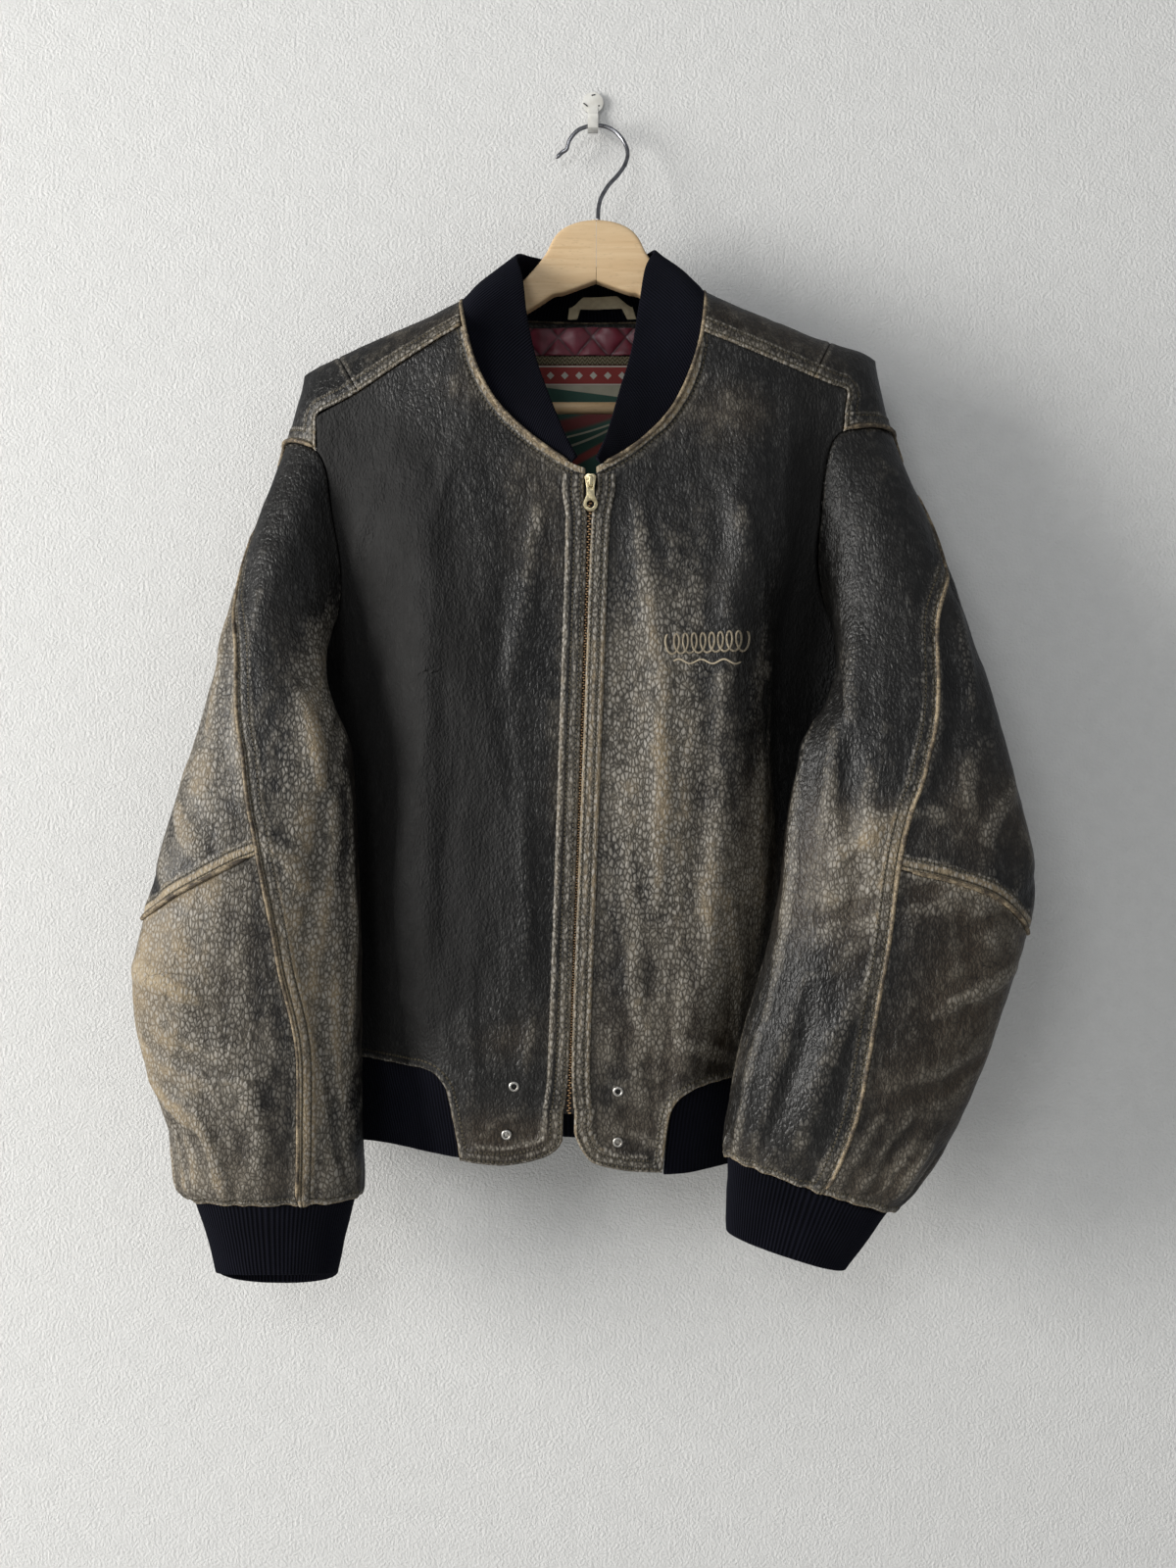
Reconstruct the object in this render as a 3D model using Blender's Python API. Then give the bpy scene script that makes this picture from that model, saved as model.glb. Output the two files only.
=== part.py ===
"""A worn leather bomber jacket on a wooden hanger, hung from a small wall hook.

X runs to the right of someone who faces the jacket, Y into the wall, Z up.
The origin is the middle of the wall hook's flat back, which lies on the wall (y = 0).
Tables hold millimetres. Everything that is built from them is in metres.
Left and right are the sides as seen from the front.
"""
import math

import bmesh
import bpy
from mathutils import Vector

MM = 0.001

# ---- driving dimensions (metres) ----
LEATHER = 0.0020            # wall of the leather
RIB_KNIT = 0.0030           # wall of the knitted rib
LINING = 0.0012             # quilting, printed cloth, braid and loop
LINING_CLEAR = 0.0014       # between the back and its lining
COLLAR_SEAM = 0.0028        # the collar's lower edge to the neck seam
GAP = 0.0003                # space between two pieces
SEAM = 0.0005               # a sewn edge's distance from its seam line
FOLDED_SEAM = 0.0018        # the same where two walls meet at an angle
UNDERARM_SEAM = 0.0034
SHOULDER_ROUND = 0.045      # how far below the shoulder line the body is at full depth
PIPING_RADIUS = 0.0016
ZIP_WIDTH = 0.0085
ZIP_THICK = 0.0022
PLACKET_WIDTH = 0.0145
PLACKET_THICK = 0.0012
TAB_THICK = 0.0016
SNAP_RADIUS = 0.0042
SNAP_HEIGHT = 0.0016
WOOD_THICK = 0.013
BAR_RADIUS = 0.0048
WIRE_RADIUS = 0.0017
DISC_RADIUS = 0.0089
DISC_THICK = 0.0024

LEFT, RIGHT = -1, 1
SIDE_NAMES = {LEFT: "left", RIGHT: "right"}


class Table:
    """Rows of named columns, joined by a smooth curve through the rows."""

    def __init__(self, columns, rows, closed=None):
        self.names = columns.split()
        self.rows = [dict(zip(self.names, row)) for row in rows]
        self.key = self.names[0]
        self.closed = closed

    def row(self, index):
        """A row by number. A closed table goes round, its key growing by one turn."""
        count = len(self.rows)
        if self.closed is None:
            return self.rows[max(0, min(count - 1, index))]
        turn, place = divmod(index, count)
        row = dict(self.rows[place])
        row[self.key] += turn * self.closed
        return row

    def at(self, key, column):
        first = self.rows[0][self.key]
        if self.closed is not None:
            key = first + (key - first) % self.closed
        last = len(self.rows) - (1 if self.closed is not None else 2)
        index = 0
        while index < last and key >= self.row(index + 1)[self.key]:
            index += 1
        before, start, end, after = (self.row(index + step) for step in (-1, 0, 1, 2))
        span = end[self.key] - start[self.key]
        t = max(0.0, min(1.0, (key - start[self.key]) / span))
        slope_in = self.slope(before, end, column) * span
        slope_out = self.slope(start, after, column) * span
        return (start[column] * (1 + 2 * t) * (1 - t) ** 2
                + slope_in * t * (1 - t) ** 2
                + end[column] * t * t * (3 - 2 * t)
                - slope_out * t * t * (1 - t))

    def slope(self, one, two, column):
        return (two[column] - one[column]) / (two[self.key] - one[self.key])

    def find(self, column, value, falling, rising):
        """The key between two keys where a column that rises from one to the other has a value."""
        for _ in range(24):
            middle = (falling + rising) / 2
            if self.at(middle, column) > value:
                rising = middle
            else:
                falling = middle
        return (falling + rising) / 2


# ---- body: depth at each height, outline of each side ----
BODY = Table("z front mid back fall", [
    (-900, -112, -42, -16, 0.62),
    (-860, -118, -38, -14, 0.66),
    (-795, -128, -34, -10, 0.74),
    (-690, -134, -32, -8, 0.76),
    (-560, -134, -34, -8, 0.80),
    (-440, -131, -40, -8, 0.72),
    (-340, -126, -52, -9, 0.40),
    (-270, -120, -60, -10, 0.20),
    (-140, -114, -60, -12, 0.10)])

FALL = {LEFT: Table("z start end", [
            (-900, 0.36, 0.80), (-700, 0.42, 0.80), (-140, 0.42, 0.84)]),
        RIGHT: Table("z start end", [
            (-900, 0.20, 0.56), (-790, 0.26, 0.60), (-600, 0.34, 0.66), (-450, 0.36, 0.68),
            (-340, 0.42, 0.80), (-140, 0.42, 0.84)])}

SIDE_LINE = {LEFT: Table("z half", [
                 (-900, 232), (-860, 240), (-795, 262), (-700, 280), (-600, 282), (-490, 280),
                 (-420, 280), (-371, 274), (-322, 254), (-290, 245), (-245, 234), (-140, 232)]),
             RIGHT: Table("z half", [
                 (-900, 228), (-860, 236), (-795, 256), (-700, 274), (-600, 277), (-490, 276),
                 (-420, 277), (-372, 271), (-340, 258), (-290, 240), (-235, 228), (-140, 225)])}

SHOULDER_LINE = {LEFT: Table("x z", [
                     (0, -150), (50, -166), (104, -188), (150, -209), (205, -233),
                     (229, -243), (250, -256)]),
                 RIGHT: Table("x z", [
                     (0, -150), (50, -164), (88, -181), (139, -203), (191, -221),
                     (220, -230), (245, -246)])}

# ---- armhole loops: angle is the place round the sleeve, share that of the body's half width ----
ARMHOLE = {LEFT: Table("angle share z", [
               (40, 1.0, -304), (60, 0.869, -314), (82, 0.782, -350), (110, 0.722, -400),
               (142, 0.736, -444), (185, 0.829, -474), (245, 1.0, -492), (272, 0.989, -462),
               (300, 0.971, -420), (328, 0.960, -375), (360, 0.984, -335)], closed=360),
           RIGHT: Table("angle share z", [
               (40, 1.0, -296), (60, 0.807, -300), (82, 0.717, -330), (110, 0.647, -390),
               (142, 0.686, -440), (185, 0.804, -474), (245, 1.0, -492), (272, 0.989, -462),
               (300, 0.971, -420), (328, 0.969, -375), (360, 0.984, -330)], closed=360)}
ARMHOLE_FRONT = 60
ARMHOLE_BACK = 360
ARMHOLE_TOP = 40
ARMPIT = 245

# ---- sleeves below the armpit: outer and inner edge, front and back, outer edge lower by drop ----
SLEEVE = {LEFT: Table("z outer inner front back drop", [
              (-898, 314, 183, -138, -74, 0),
              (-890, 323, 180, -143, -71, 0),
              (-845, 331, 180, -150, -67, 0),
              (-792, 347, 181, -156, -64, 0),
              (-726, 356, 181, -161, -64, 0),
              (-685, 348, 181, -163, -65, 0),
              (-640, 337, 183, -162, -66, 0),
              (-595, 324, 185, -159, -67, 0),
              (-553, 312, 188, -154, -66, 0)]),
          RIGHT: Table("z outer inner front back drop", [
              (-884, 231, 101, -148, -88, 44),
              (-870, 248, 99, -156, -86, 38),
              (-830, 277, 104, -166, -84, 25),
              (-786, 299, 112, -170, -82, 13),
              (-733, 318, 126, -171, -78, 6),
              (-680, 335, 139, -169, -72, 0),
              (-640, 339, 147, -166, -69, 0),
              (-595, 332, 153, -162, -67, 0),
              (-553, 322, 159, -156, -66, 0)])}
SLEEVE_SQUARE = 2.3         # roundness of a sleeve's section: 2 is an ellipse
SLEEVE_PUSH = 0.016         # how far the head of the sleeve stands out from the armhole

# ---- seams along the sleeve: the angle of the front seam at each place ----
# place 0 is the armhole, 1 the first full section, 2 the hem
FRONT_SEAM = {LEFT: Table("place angle", [
                  (0, 5), (0.35, 22), (0.65, 52), (1.0, 80), (1.25, 96), (1.45, 108),
                  (1.65, 117), (1.85, 112), (2.0, 108)]),
              RIGHT: Table("place angle", [
                  (0, 5), (0.35, 30), (0.65, 62), (1.0, 84), (1.25, 97), (1.50, 95),
                  (1.75, 90), (2.0, 86)])}
BACK_SEAM_ANGLE = -70
# the elbow seam, from the back seam (share 0) to the front seam (share 1)
ELBOW = {LEFT: Table("share z", [(0, -629), (0.3, -668), (0.48, -680), (0.77, -655), (1, -629)]),
         RIGHT: Table("share z", [(0, -640), (0.3, -676), (0.48, -690), (0.78, -658), (1, -640)])}

# ---- cuffs: sections from the sleeve's hem down ----
CUFF = {LEFT: Table("z outer inner front back drop", [
            (-958, 296, 200, -126, -78, 0),
            (-928, 303, 194, -130, -74, 0),
            (-897, 311.4, 185.6, -135.6, -76.4, 0)]),
        RIGHT: Table("z outer inner front back drop", [
            (-936, 196, 103, -140, -92, 30),
            (-910, 212, 103, -143, -88, 38),
            (-884, 227.6, 104.4, -145, -91, 44)])}

# ---- neck: the seam on the body and the free edge of the collar, zip to zip round the back ----
COLLAR = Table("place seam_x seam_z edge_x edge_y edge_z", [
    (0, -17, -330, -15, -131, -327),
    (1, -36, -318, -27, -128, -299),
    (2, -56, -302, -38, -121, -269),
    (3, -76, -281, -46, -113, -244),
    (4, -91, -253, -53, -101, -208),
    (5, -100, -221, -57, -86, -175),
    (6, -104, -188, -63, -66, -150),
    (7, -86, -189, -52, -41, -144),
    (8, -46, -189, -28, -31, -147),
    (9, -4, -189, -4, -27, -149),
    (10, 38, -189, 20, -30, -146),
    (11, 74, -188, 42, -40, -143),
    (12, 88, -181, 51, -64, -146),
    (13, 85, -222, 42, -82, -166),
    (14, 76, -256, 36, -98, -205),
    (15, 61, -287, 30, -112, -242),
    (16, 41, -309, 21, -121, -273),
    (17, 22, -323, 13, -128, -303),
    (18, 6, -331, 4, -131, -328)])
COLLAR_LAST = 18
RIDGE_LEFT, RIDGE_RIGHT = 6, 12            # places where the seam crosses the shoulder line
COLLAR_BULGE = 0.06

# ---- fronts: neck curve and yoke seam above, hem and rib below, from the zip outwards ----
FRONT_TOP = {LEFT: Table("x z", [
                 (0, -336), (17, -330), (36, -318), (56, -302), (76, -281), (91, -253),
                 (100, -222), (102, -221), (140, -243), (184, -270), (218, -286)]),
             RIGHT: Table("x z", [
                 (-6, -337), (6, -331), (22, -323), (41, -309), (61, -287), (76, -256),
                 (82, -226), (84, -226), (120, -240), (172, -259), (200, -268)])}
FRONT_HEM = {LEFT: Table("x z", [
                 (14, -832), (20, -842), (24, -852), (29, -860), (42, -867), (68, -872),
                 (105, -868), (106, -835), (108, -812), (116, -800), (130, -797), (285, -797)]),
             RIGHT: Table("x z", [
                 (-21, -828), (-14, -850), (-8, -862), (0, -870), (24, -877), (54, -879),
                 (55, -836), (61, -820), (74, -812), (100, -809), (140, -807), (190, -801),
                 (250, -797), (285, -797)])}
HEM_LEVEL = {LEFT: -862, RIGHT: -872}     # heights at which the hem's and neck's x are measured
NECK_LEVEL = -300
RIB_START = {LEFT: 0.386, RIGHT: 0.338}   # share of the front where the rib begins
RIB_CLEAR = 0.003
WAISTBAND_DROP = Table("x z", [(-240, -862), (-107, -867), (0, -872), (56, -879), (120, -880),
                               (240, -868)])
ZIP_LINE = Table("z x", [(-870, -20), (-833, -19), (-768, -17), (-560, -9.5), (-338, -2)])
ZIP_TOP, ZIP_BOTTOM = -338, -831
PLACKET_TOP, PLACKET_BOTTOM = -341, -826
LOOP_START, LOOP_END = 8.58, 9.98          # places on the collar
LOOP_LOW, LOOP_HIGH = 0.04, 0.50
HEM_TOP_BACK = -797
BACK_NECK_Z = -190
NECK_STEP = 0.003           # width of the back's step down beside the neck
YOKE_SEAM = 0.0013
BACK_SEAM_DROP = 30         # how far the yoke's back seam lies below the shoulder line

# ---- yokes: the front seam and the shoulder line, from the neck to the cross seam ----
YOKE = {LEFT: Table("place front_x top_x", [(0, 103, 105), (0.5, 142, 155), (1, 184, 205)]),
        RIGHT: Table("place front_x top_x", [(0, 85, 89), (0.5, 128, 140), (1, 172, 191)])}
# ---- yoke ends: from the cross seam down to the armhole; drop is below the front's top edge ----
YOKE_END = {LEFT: Table("place front_x front_drop back_x back_z", [
                (0, 184, 0, 205, -263), (0.3, 203, 0, 214, -273), (0.5, 217, 0, 221, -284),
                (0.75, 218.4, 13, 234, -306), (1, 218.6, 28, 254, -335)]),
            RIGHT: Table("place front_x front_drop back_x back_z", [
                (0, 172, 0, 191, -251), (0.3, 189, 0, 203, -262), (0.5, 199, 0, 211, -274),
                (0.75, 198, 14, 226, -298), (1, 196.5, 32, 250, -330)])}
YOKE_END_COLUMNS = [0, 0.2, 0.35, 0.5, 0.75, 1]
YOKE_END_CORNER = 0.5       # where the end's front edge turns down, and its top rail too

# ---- large drape folds of the fronts: a ridge from top to bottom ----
FOLDS = [dict(zip("top_x top_z low_x low_z width height".split(), row)) for row in [
    (-150, -262, -118, -520, 26, 5.0),
    (-92, -300, -84, -640, 24, 3.5),
    (-52, -420, -64, -800, 22, 3.0),
    (128, -262, 92, -560, 26, 5.0),
    (58, -330, 46, -700, 24, 3.5),
    (150, -420, 118, -800, 20, 5.0)]]


# ---- trim ----
UNDER_ANGLES = [5, 22, 40, 50, 60, 82, 110, 142, 185, 215, 245, 265, 290]
UPPER_ANGLES = [290, 299.5, 309, 318.5, 328, 336, 344, 352, 360, 365]
PLACKET_START = 0.0008      # from the zip edge to the placket
ARMHOLE_PIPING_START = -58  # angles round the armhole
ARMHOLE_PIPING_TURN = 116
ARMHOLE_PIPING_STEPS = 15
ARMHOLE_PIPING_LIFT = 0.0019
SLEEVE_PIPING_START = 0.06
SLEEVE_PIPING_STEPS = 20
ELBOW_PIPING_STEPS = 10
ELBOW_PIPING_END = 0.96     # share of the way to the sleeve piping
NECK_PIPING_START = 0.4
NECK_PIPING_LIFT = 0.0019
SNAPS = Table("index x z lift", [
    (1, -61, -809, -0.5), (2, -67, -847, 0.6), (3, 19, -813, -0.6), (4, 19, -853, 0.6)])

# ---- zip slider and pull tab ----
SLIDER_Z = -345
ZIP_LIFT = 0.0006
SLIDER_WIDTH, SLIDER_HEIGHT, SLIDER_THICK = 0.0088, 0.0120, 0.0030
BRIDGE_WIDTH, BRIDGE_LENGTH, BRIDGE_THICK = 0.0024, 0.0084, 0.0010
BRIDGE_ROOM = 0.0026        # free height under the bridge
BRIDGE_BAR = 0.0014         # height of the tab's top bar
TAB_WIDTH, TAB_LENGTH = 0.0110, 0.0235
TAB_RING_Z = -0.0175
TAB_HOLE = 0.0030
TAB_WINDOW, TAB_WINDOW_LENGTH = 0.0036, 0.0052

# ---- hanger and wall hook ----
HANGER_MIDDLE = 2.5
HANGER = Table("index x top low", [(index,) + row for index, row in enumerate([
    (0, -119, -166), (14, -121, -170), (26, -126, -176), (34, -134, -180), (42, -149, -185),
    (58, -168, -195), (80, -189, -208), (101, -198, -218), (140, -209, -232), (176, -226, -249),
    (178, -227, -284), (198, -240, -287), (207, -250, -276)])])
HANGER_UNDER = 100          # beyond this the arms' top edge lies under the shoulders
HANGER_SEAT = 0.0026
BAR_HALF, BAR_Z = 176.7, -272
HOOK_STEPS = 30
HOOK_WIRE = Table("index x y z", [(index,) + row for index, row in enumerate([
    (-31, -12, -51), (-26, -12, -46), (-22, -13, -43.5), (-19.6, -14, -36.5), (-13, -15, -29),
    (-5, -15, -25.5), (3, -15, -24.5), (12, -15, -26), (20, -15.5, -31), (26, -17, -39),
    (29, -20, -49), (27, -24, -60), (21, -29, -71), (13, -35, -82), (7, -41, -94),
    (4.5, -49, -106), (4, -54, -118.4)])])
TONGUE_WIDTH, TONGUE_THICK = 0.0086, 0.0024
TONGUE_PATH = [(-1.3, -4), (-2.2, -10), (-3.4, -18), (-6.2, -25), (-10.5, -28.2), (-15, -28.6),
               (-19, -27.2), (-21.2, -23.4), (-21.8, -18)]


def smooth_step(value):
    t = max(0.0, min(1.0, value))
    return t * t * (3 - 2 * t)


def round_over(depth, radius):
    """0 at the edge, 1 from radius inwards, in a quarter circle."""
    t = max(0.0, min(1.0, depth / radius))
    return math.sqrt(1 - (1 - t) ** 2)


def side_of(x):
    return LEFT if x < 0 else RIGHT


def shoulder_z(side, x):
    """Height of the shoulder line, in metres."""
    return SHOULDER_LINE[side].at(abs(x) / MM, "z") * MM


def side_x(side, z):
    """Half width of the body at a height, in metres."""
    return SIDE_LINE[side].at(z / MM, "half") * MM


def fold_height(x, z):
    total = 0.0
    for fold in FOLDS:
        length = (fold["top_z"] - fold["low_z"]) * MM
        along = (fold["top_z"] * MM - z) / length
        if 0 < along < 1:
            middle = (fold["top_x"] + along * (fold["low_x"] - fold["top_x"])) * MM
            across = (x - middle) / (fold["width"] * MM)
            total += fold["height"] * MM * math.sin(math.pi * along) * math.exp(-across * across)
    return total


def crown(x, z):
    """Share of the body's full depth that is left near the shoulder line."""
    return round_over(shoulder_z(side_of(x), x) - z, SHOULDER_ROUND)


def front_y(x, z):
    """The outer face of the front and yokes."""
    side = side_of(x)
    row = z / MM
    share = min(1.0, abs(x) / side_x(side, z))
    start, end = (FALL[side].at(row, name) for name in ("start", "end"))
    fall = BODY.at(row, "fall") * smooth_step((share - start) / (end - start))
    depth = (BODY.at(row, "front") - BODY.at(row, "mid")) * MM
    edge = math.sqrt(max(0.0, 1 - share ** 8))
    return BODY.at(row, "mid") * MM + depth * (1 - fall) * edge * crown(x, z) - fold_height(x, z) * edge


def back_y(x, z):
    """The outer face of the back, nearly flat against the wall."""
    row = z / MM
    share = min(1.0, abs(x) / side_x(side_of(x), z))
    depth = (BODY.at(row, "back") - BODY.at(row, "mid")) * MM
    edge = math.sqrt(max(0.0, 1 - share ** 6))
    return BODY.at(row, "mid") * MM + depth * edge * crown(x, z)


def body_point(x, z, face):
    """A point of the body: face 1 is the front, -1 the back, 0 the shoulder line between."""
    if face == 0:
        return Vector((x, BODY.at(z / MM, "mid") * MM, z))
    return Vector((x, front_y(x, z) if face > 0 else back_y(x, z), z))


# ---- surfaces, each a function of two shares from 0 to 1 ----
def zip_edge(side, z):
    """Where a front ends beside the zip."""
    return ZIP_LINE.at(z / MM, "x") * MM + side * ZIP_WIDTH / 2


def front_place(side, u, z):
    """X at a share u of the way from the zip to the front's outer edge."""
    inner = zip_edge(side, z)
    return inner + u * (side * front_reach(side, z) - inner)


def front_share(side, x, z):
    """The share u of a place x, the other way round. x and z are in millimetres."""
    inner = zip_edge(side, z * MM)
    return (side * x * MM - inner) / (side * front_reach(side, z * MM) - inner)


def front_hem_z(side, u):
    """The front's lower edge: the leather hem, the rounded corner and the rib's upper edge."""
    x = front_place(side, u, HEM_LEVEL[side] * MM)
    return FRONT_HEM[side].at(side * x / MM, "z") * MM


def front_top_z(side, u):
    x = front_place(side, u, NECK_LEVEL * MM)
    return FRONT_TOP[side].at(side * x / MM, "z") * MM


def front_surface(side):
    """u from the zip to the armhole or side seam, v from the hem to the neck or yoke."""
    def surface(u, v):
        low = front_hem_z(side, u)
        z = low + v * (front_top_z(side, u) - low)
        return body_point(front_place(side, u, z), z, 1)
    return surface


def front_reach(side, z):
    """How far out the front reaches: to its edge on the yoke end, the armhole or the side seam."""
    row = z / MM
    armhole, end = ARMHOLE[side], YOKE_END[side]
    if row <= armhole.at(ARMPIT, "z"):
        return side_x(side, z)
    if row <= armhole.at(ARMHOLE_FRONT, "z"):
        angle = armhole.find("z", row, ARMPIT, ARMHOLE_FRONT)
        return armhole.at(angle, "share") * side_x(side, z)
    place = end.find("front_drop", FRONT_TOP[side].rows[-1]["z"] - row, YOKE_END_CORNER, 1)
    return end.at(place, "front_x") * MM


def back_reach(side, z):
    """How far out the back reaches, likewise."""
    row = z / MM
    armhole, end = ARMHOLE[side], YOKE_END[side]
    if row <= armhole.at(ARMPIT, "z"):
        return side_x(side, z)
    if row <= armhole.at(ARMHOLE_BACK, "z"):
        angle = armhole.find("z", row, ARMPIT, ARMHOLE_BACK)
        return armhole.at(angle, "share") * side_x(side, z)
    return end.at(end.find("back_z", row, 1, 0), "back_x") * MM


def back_top(x):
    """The back's upper edge: the neck seam in the middle, the yokes' back seam beyond."""
    side = side_of(x)
    seam = shoulder_z(side, x) - BACK_SEAM_DROP * MM
    neck_edge = YOKE[side].at(0, "top_x") * MM
    share = max(0.0, min(1.0, (abs(x) - neck_edge + NECK_STEP) / NECK_STEP))
    return BACK_NECK_Z * MM + (seam - BACK_NECK_Z * MM) * share


def back_surface(u, v):
    """u from the right edge to the left one, so that the outer face looks at the wall."""
    across = 1 - 2 * u
    side = RIGHT if across > 0 else LEFT
    top = back_top(across * YOKE_END[side].at(0, "back_x") * MM)
    z = HEM_TOP_BACK * MM + v * (top - HEM_TOP_BACK * MM)
    return body_point(across * back_reach(side, z), z, -1)


def over_shoulder(front, top, back, w):
    """w from -1 on the front seam through 0 on the shoulder to 1 on the back seam."""
    far = front if w < 0 else back
    share = w * w
    x = top[0] + (far[0] - top[0]) * share
    z = top[1] + (far[1] - top[1]) * share
    if abs(w) < 1e-6:
        return body_point(x, z, 0)
    return body_point(x, z, 1 if w < 0 else -1)


def yoke_surface(side):
    """u from the neck to the cross seam, v from the front seam over the shoulder to the back."""
    def surface(u, v):
        top_x = side * YOKE[side].at(u, "top_x") * MM
        top = (top_x, shoulder_z(side, top_x))
        front_x = YOKE[side].at(u, "front_x")
        front = (side * front_x * MM, FRONT_TOP[side].at(front_x, "z") * MM)
        back = (top_x, top[1] - BACK_SEAM_DROP * MM)
        return over_shoulder(front, top, back, 2 * v - 1)
    return surface


def shoulder_corner(side):
    """Where the shoulder line meets the side's outline."""
    x = 0.23
    for _ in range(12):
        x = side_x(side, shoulder_z(side, x))
    return x


def yoke_end_rail(side, place):
    """The end's middle line, on the outline: along the shoulder, then down to the armhole."""
    corner_x = shoulder_corner(side)
    start_x = YOKE[side].at(1, "top_x") * MM
    if place < YOKE_END_CORNER:
        x = start_x + (corner_x - start_x) * place / YOKE_END_CORNER
        return (side * x, shoulder_z(side, x))
    share = (place - YOKE_END_CORNER) / (1 - YOKE_END_CORNER)
    corner_z = shoulder_z(side, corner_x)
    z = corner_z + (ARMHOLE[side].at(ARMHOLE_TOP, "z") * MM - corner_z) * share
    return (side * side_x(side, z), z)


def yoke_end_surface(side):
    """u from the cross seam to the armhole, v from the front edge over the top to the back."""
    table = YOKE_END[side]

    def flat_place(place, w):
        front_x = table.at(place, "front_x")
        front_z = FRONT_TOP[side].at(front_x, "z") - table.at(place, "front_drop")
        back = (side * table.at(place, "back_x") * MM, table.at(place, "back_z") * MM)
        far = (side * front_x * MM, front_z * MM) if w < 0 else back
        top = yoke_end_rail(side, place)
        return [start + (end - start) * w * w for start, end in zip(top, far)]

    def surface(u, v):
        w = 2 * v - 1
        turn = (ARMHOLE_FRONT - ARMHOLE_TOP) * w * w if w < 0 else -ARMHOLE_TOP * w * w
        goal = armhole_point(side, ARMHOLE_TOP + turn)
        end_x, end_z = flat_place(1, w)
        x, z = flat_place(u, w)
        x += (goal.x - end_x) * u * u
        z += (goal.z - end_z) * u * u
        return body_point(x, z, 0 if abs(w) < 1e-6 else math.copysign(1, -w))
    return surface


def ring_point(table, side, row, angle, square):
    """A point of a sleeve's section. Angle 0 is the outer edge, 90 the front, 180 the inner."""
    turn = math.radians(angle)
    outer, inner = table.at(row, "outer") * MM, table.at(row, "inner") * MM
    front, back = table.at(row, "front") * MM, table.at(row, "back") * MM
    power = 2 / square
    cosine = math.copysign(abs(math.cos(turn)) ** power, math.cos(turn))
    sine = math.copysign(abs(math.sin(turn)) ** power, math.sin(turn))
    x = (outer + inner) / 2 + (outer - inner) / 2 * cosine
    y = (front + back) / 2 + (front - back) / 2 * sine
    z = row * MM - table.at(row, "drop") * MM * cosine / 2
    return Vector((side * x, y, z))


def armhole_point(side, angle):
    table = ARMHOLE[side]
    first = table.rows[0]["angle"]
    wrapped = first + (angle - first) % table.closed
    z = table.at(angle, "z") * MM
    share = min(1.0, table.at(angle, "share"))
    return body_point(side * share * side_x(side, z), z, 1 if wrapped <= ARMPIT else -1)


def sleeve_point(side, angle, place):
    """place 0 is the armhole, 1 the first full section, 2 the hem."""
    table = SLEEVE[side]
    first, last = table.rows[-1]["z"], table.rows[0]["z"]
    if place >= 1:
        return ring_point(table, side, first + (place - 1) * (last - first), angle, SLEEVE_SQUARE)
    start = armhole_point(side, angle)
    end = ring_point(table, side, first, angle, SLEEVE_SQUARE)
    below = ring_point(table, side, first - 12, angle, SLEEVE_SQUARE)
    run = (end - start).length
    out = Vector((side * 0.72, -0.60, -0.35)) * SLEEVE_PUSH
    one = start + (end - start) * 0.30 + out
    two = end - (below - end).normalized() * run * 0.30
    rest = 1 - place
    return (start * rest ** 3 + one * 3 * place * rest ** 2
            + two * 3 * place ** 2 * rest + end * place ** 3)


def elbow_place(side, share):
    """How far down the sleeve the elbow seam lies, at a share of the way to the front seam."""
    table = SLEEVE[side]
    first, last = table.rows[-1]["z"], table.rows[0]["z"]
    return 1 + (ELBOW[side].at(share, "z") - first) / (last - first)


def outer_angle(side, share, place):
    """The angle at a share of the way from the back seam to the front seam."""
    return BACK_SEAM_ANGLE + share * (FRONT_SEAM[side].at(place, "angle") - BACK_SEAM_ANGLE)


def sleeve_panel(side, kind):
    """u round the sleeve, v from the upper to the lower edge. kind: upper, lower or under."""
    def surface(u, v):
        if kind == "under":
            seam = FRONT_SEAM[side].at(v * 2, "angle")
            return sleeve_point(side, seam + u * (360 + BACK_SEAM_ANGLE - seam), v * 2)
        elbow = elbow_place(side, u)
        place = v * elbow if kind == "upper" else elbow + v * (2 - elbow)
        return sleeve_point(side, outer_angle(side, u, place), place)
    return surface


def cuff_surface(side):
    table = CUFF[side]
    low, high = table.rows[0]["z"], table.rows[-1]["z"]

    def surface(u, v):
        return ring_point(table, side, high + v * (low - high), u * 360, SLEEVE_SQUARE)
    return surface


def collar_face(place):
    """-1 where the neck seam lies on the back, 1 on the fronts and yokes."""
    return -1 if RIDGE_LEFT < place < RIDGE_RIGHT else 1


def collar_seam(place):
    """A point of the neck seam on the body."""
    x, z = COLLAR.at(place, "seam_x") * MM, COLLAR.at(place, "seam_z") * MM
    return body_point(x, z, collar_face(place))


def collar_surface(u, v):
    """u from the left zip end round the neck to the right one, v from the seam to the edge."""
    place = u * COLLAR_LAST
    seam = collar_seam(place)
    edge = Vector([COLLAR.at(place, name) * MM for name in ("edge_x", "edge_y", "edge_z")])
    stand = math.sin(math.pi * v) * COLLAR_BULGE * (edge - seam).length
    middle = Vector((0, -0.07, seam.z))
    out = (seam - middle)
    out.z = 0
    return seam + (edge - seam) * v + out.normalized() * stand


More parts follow.
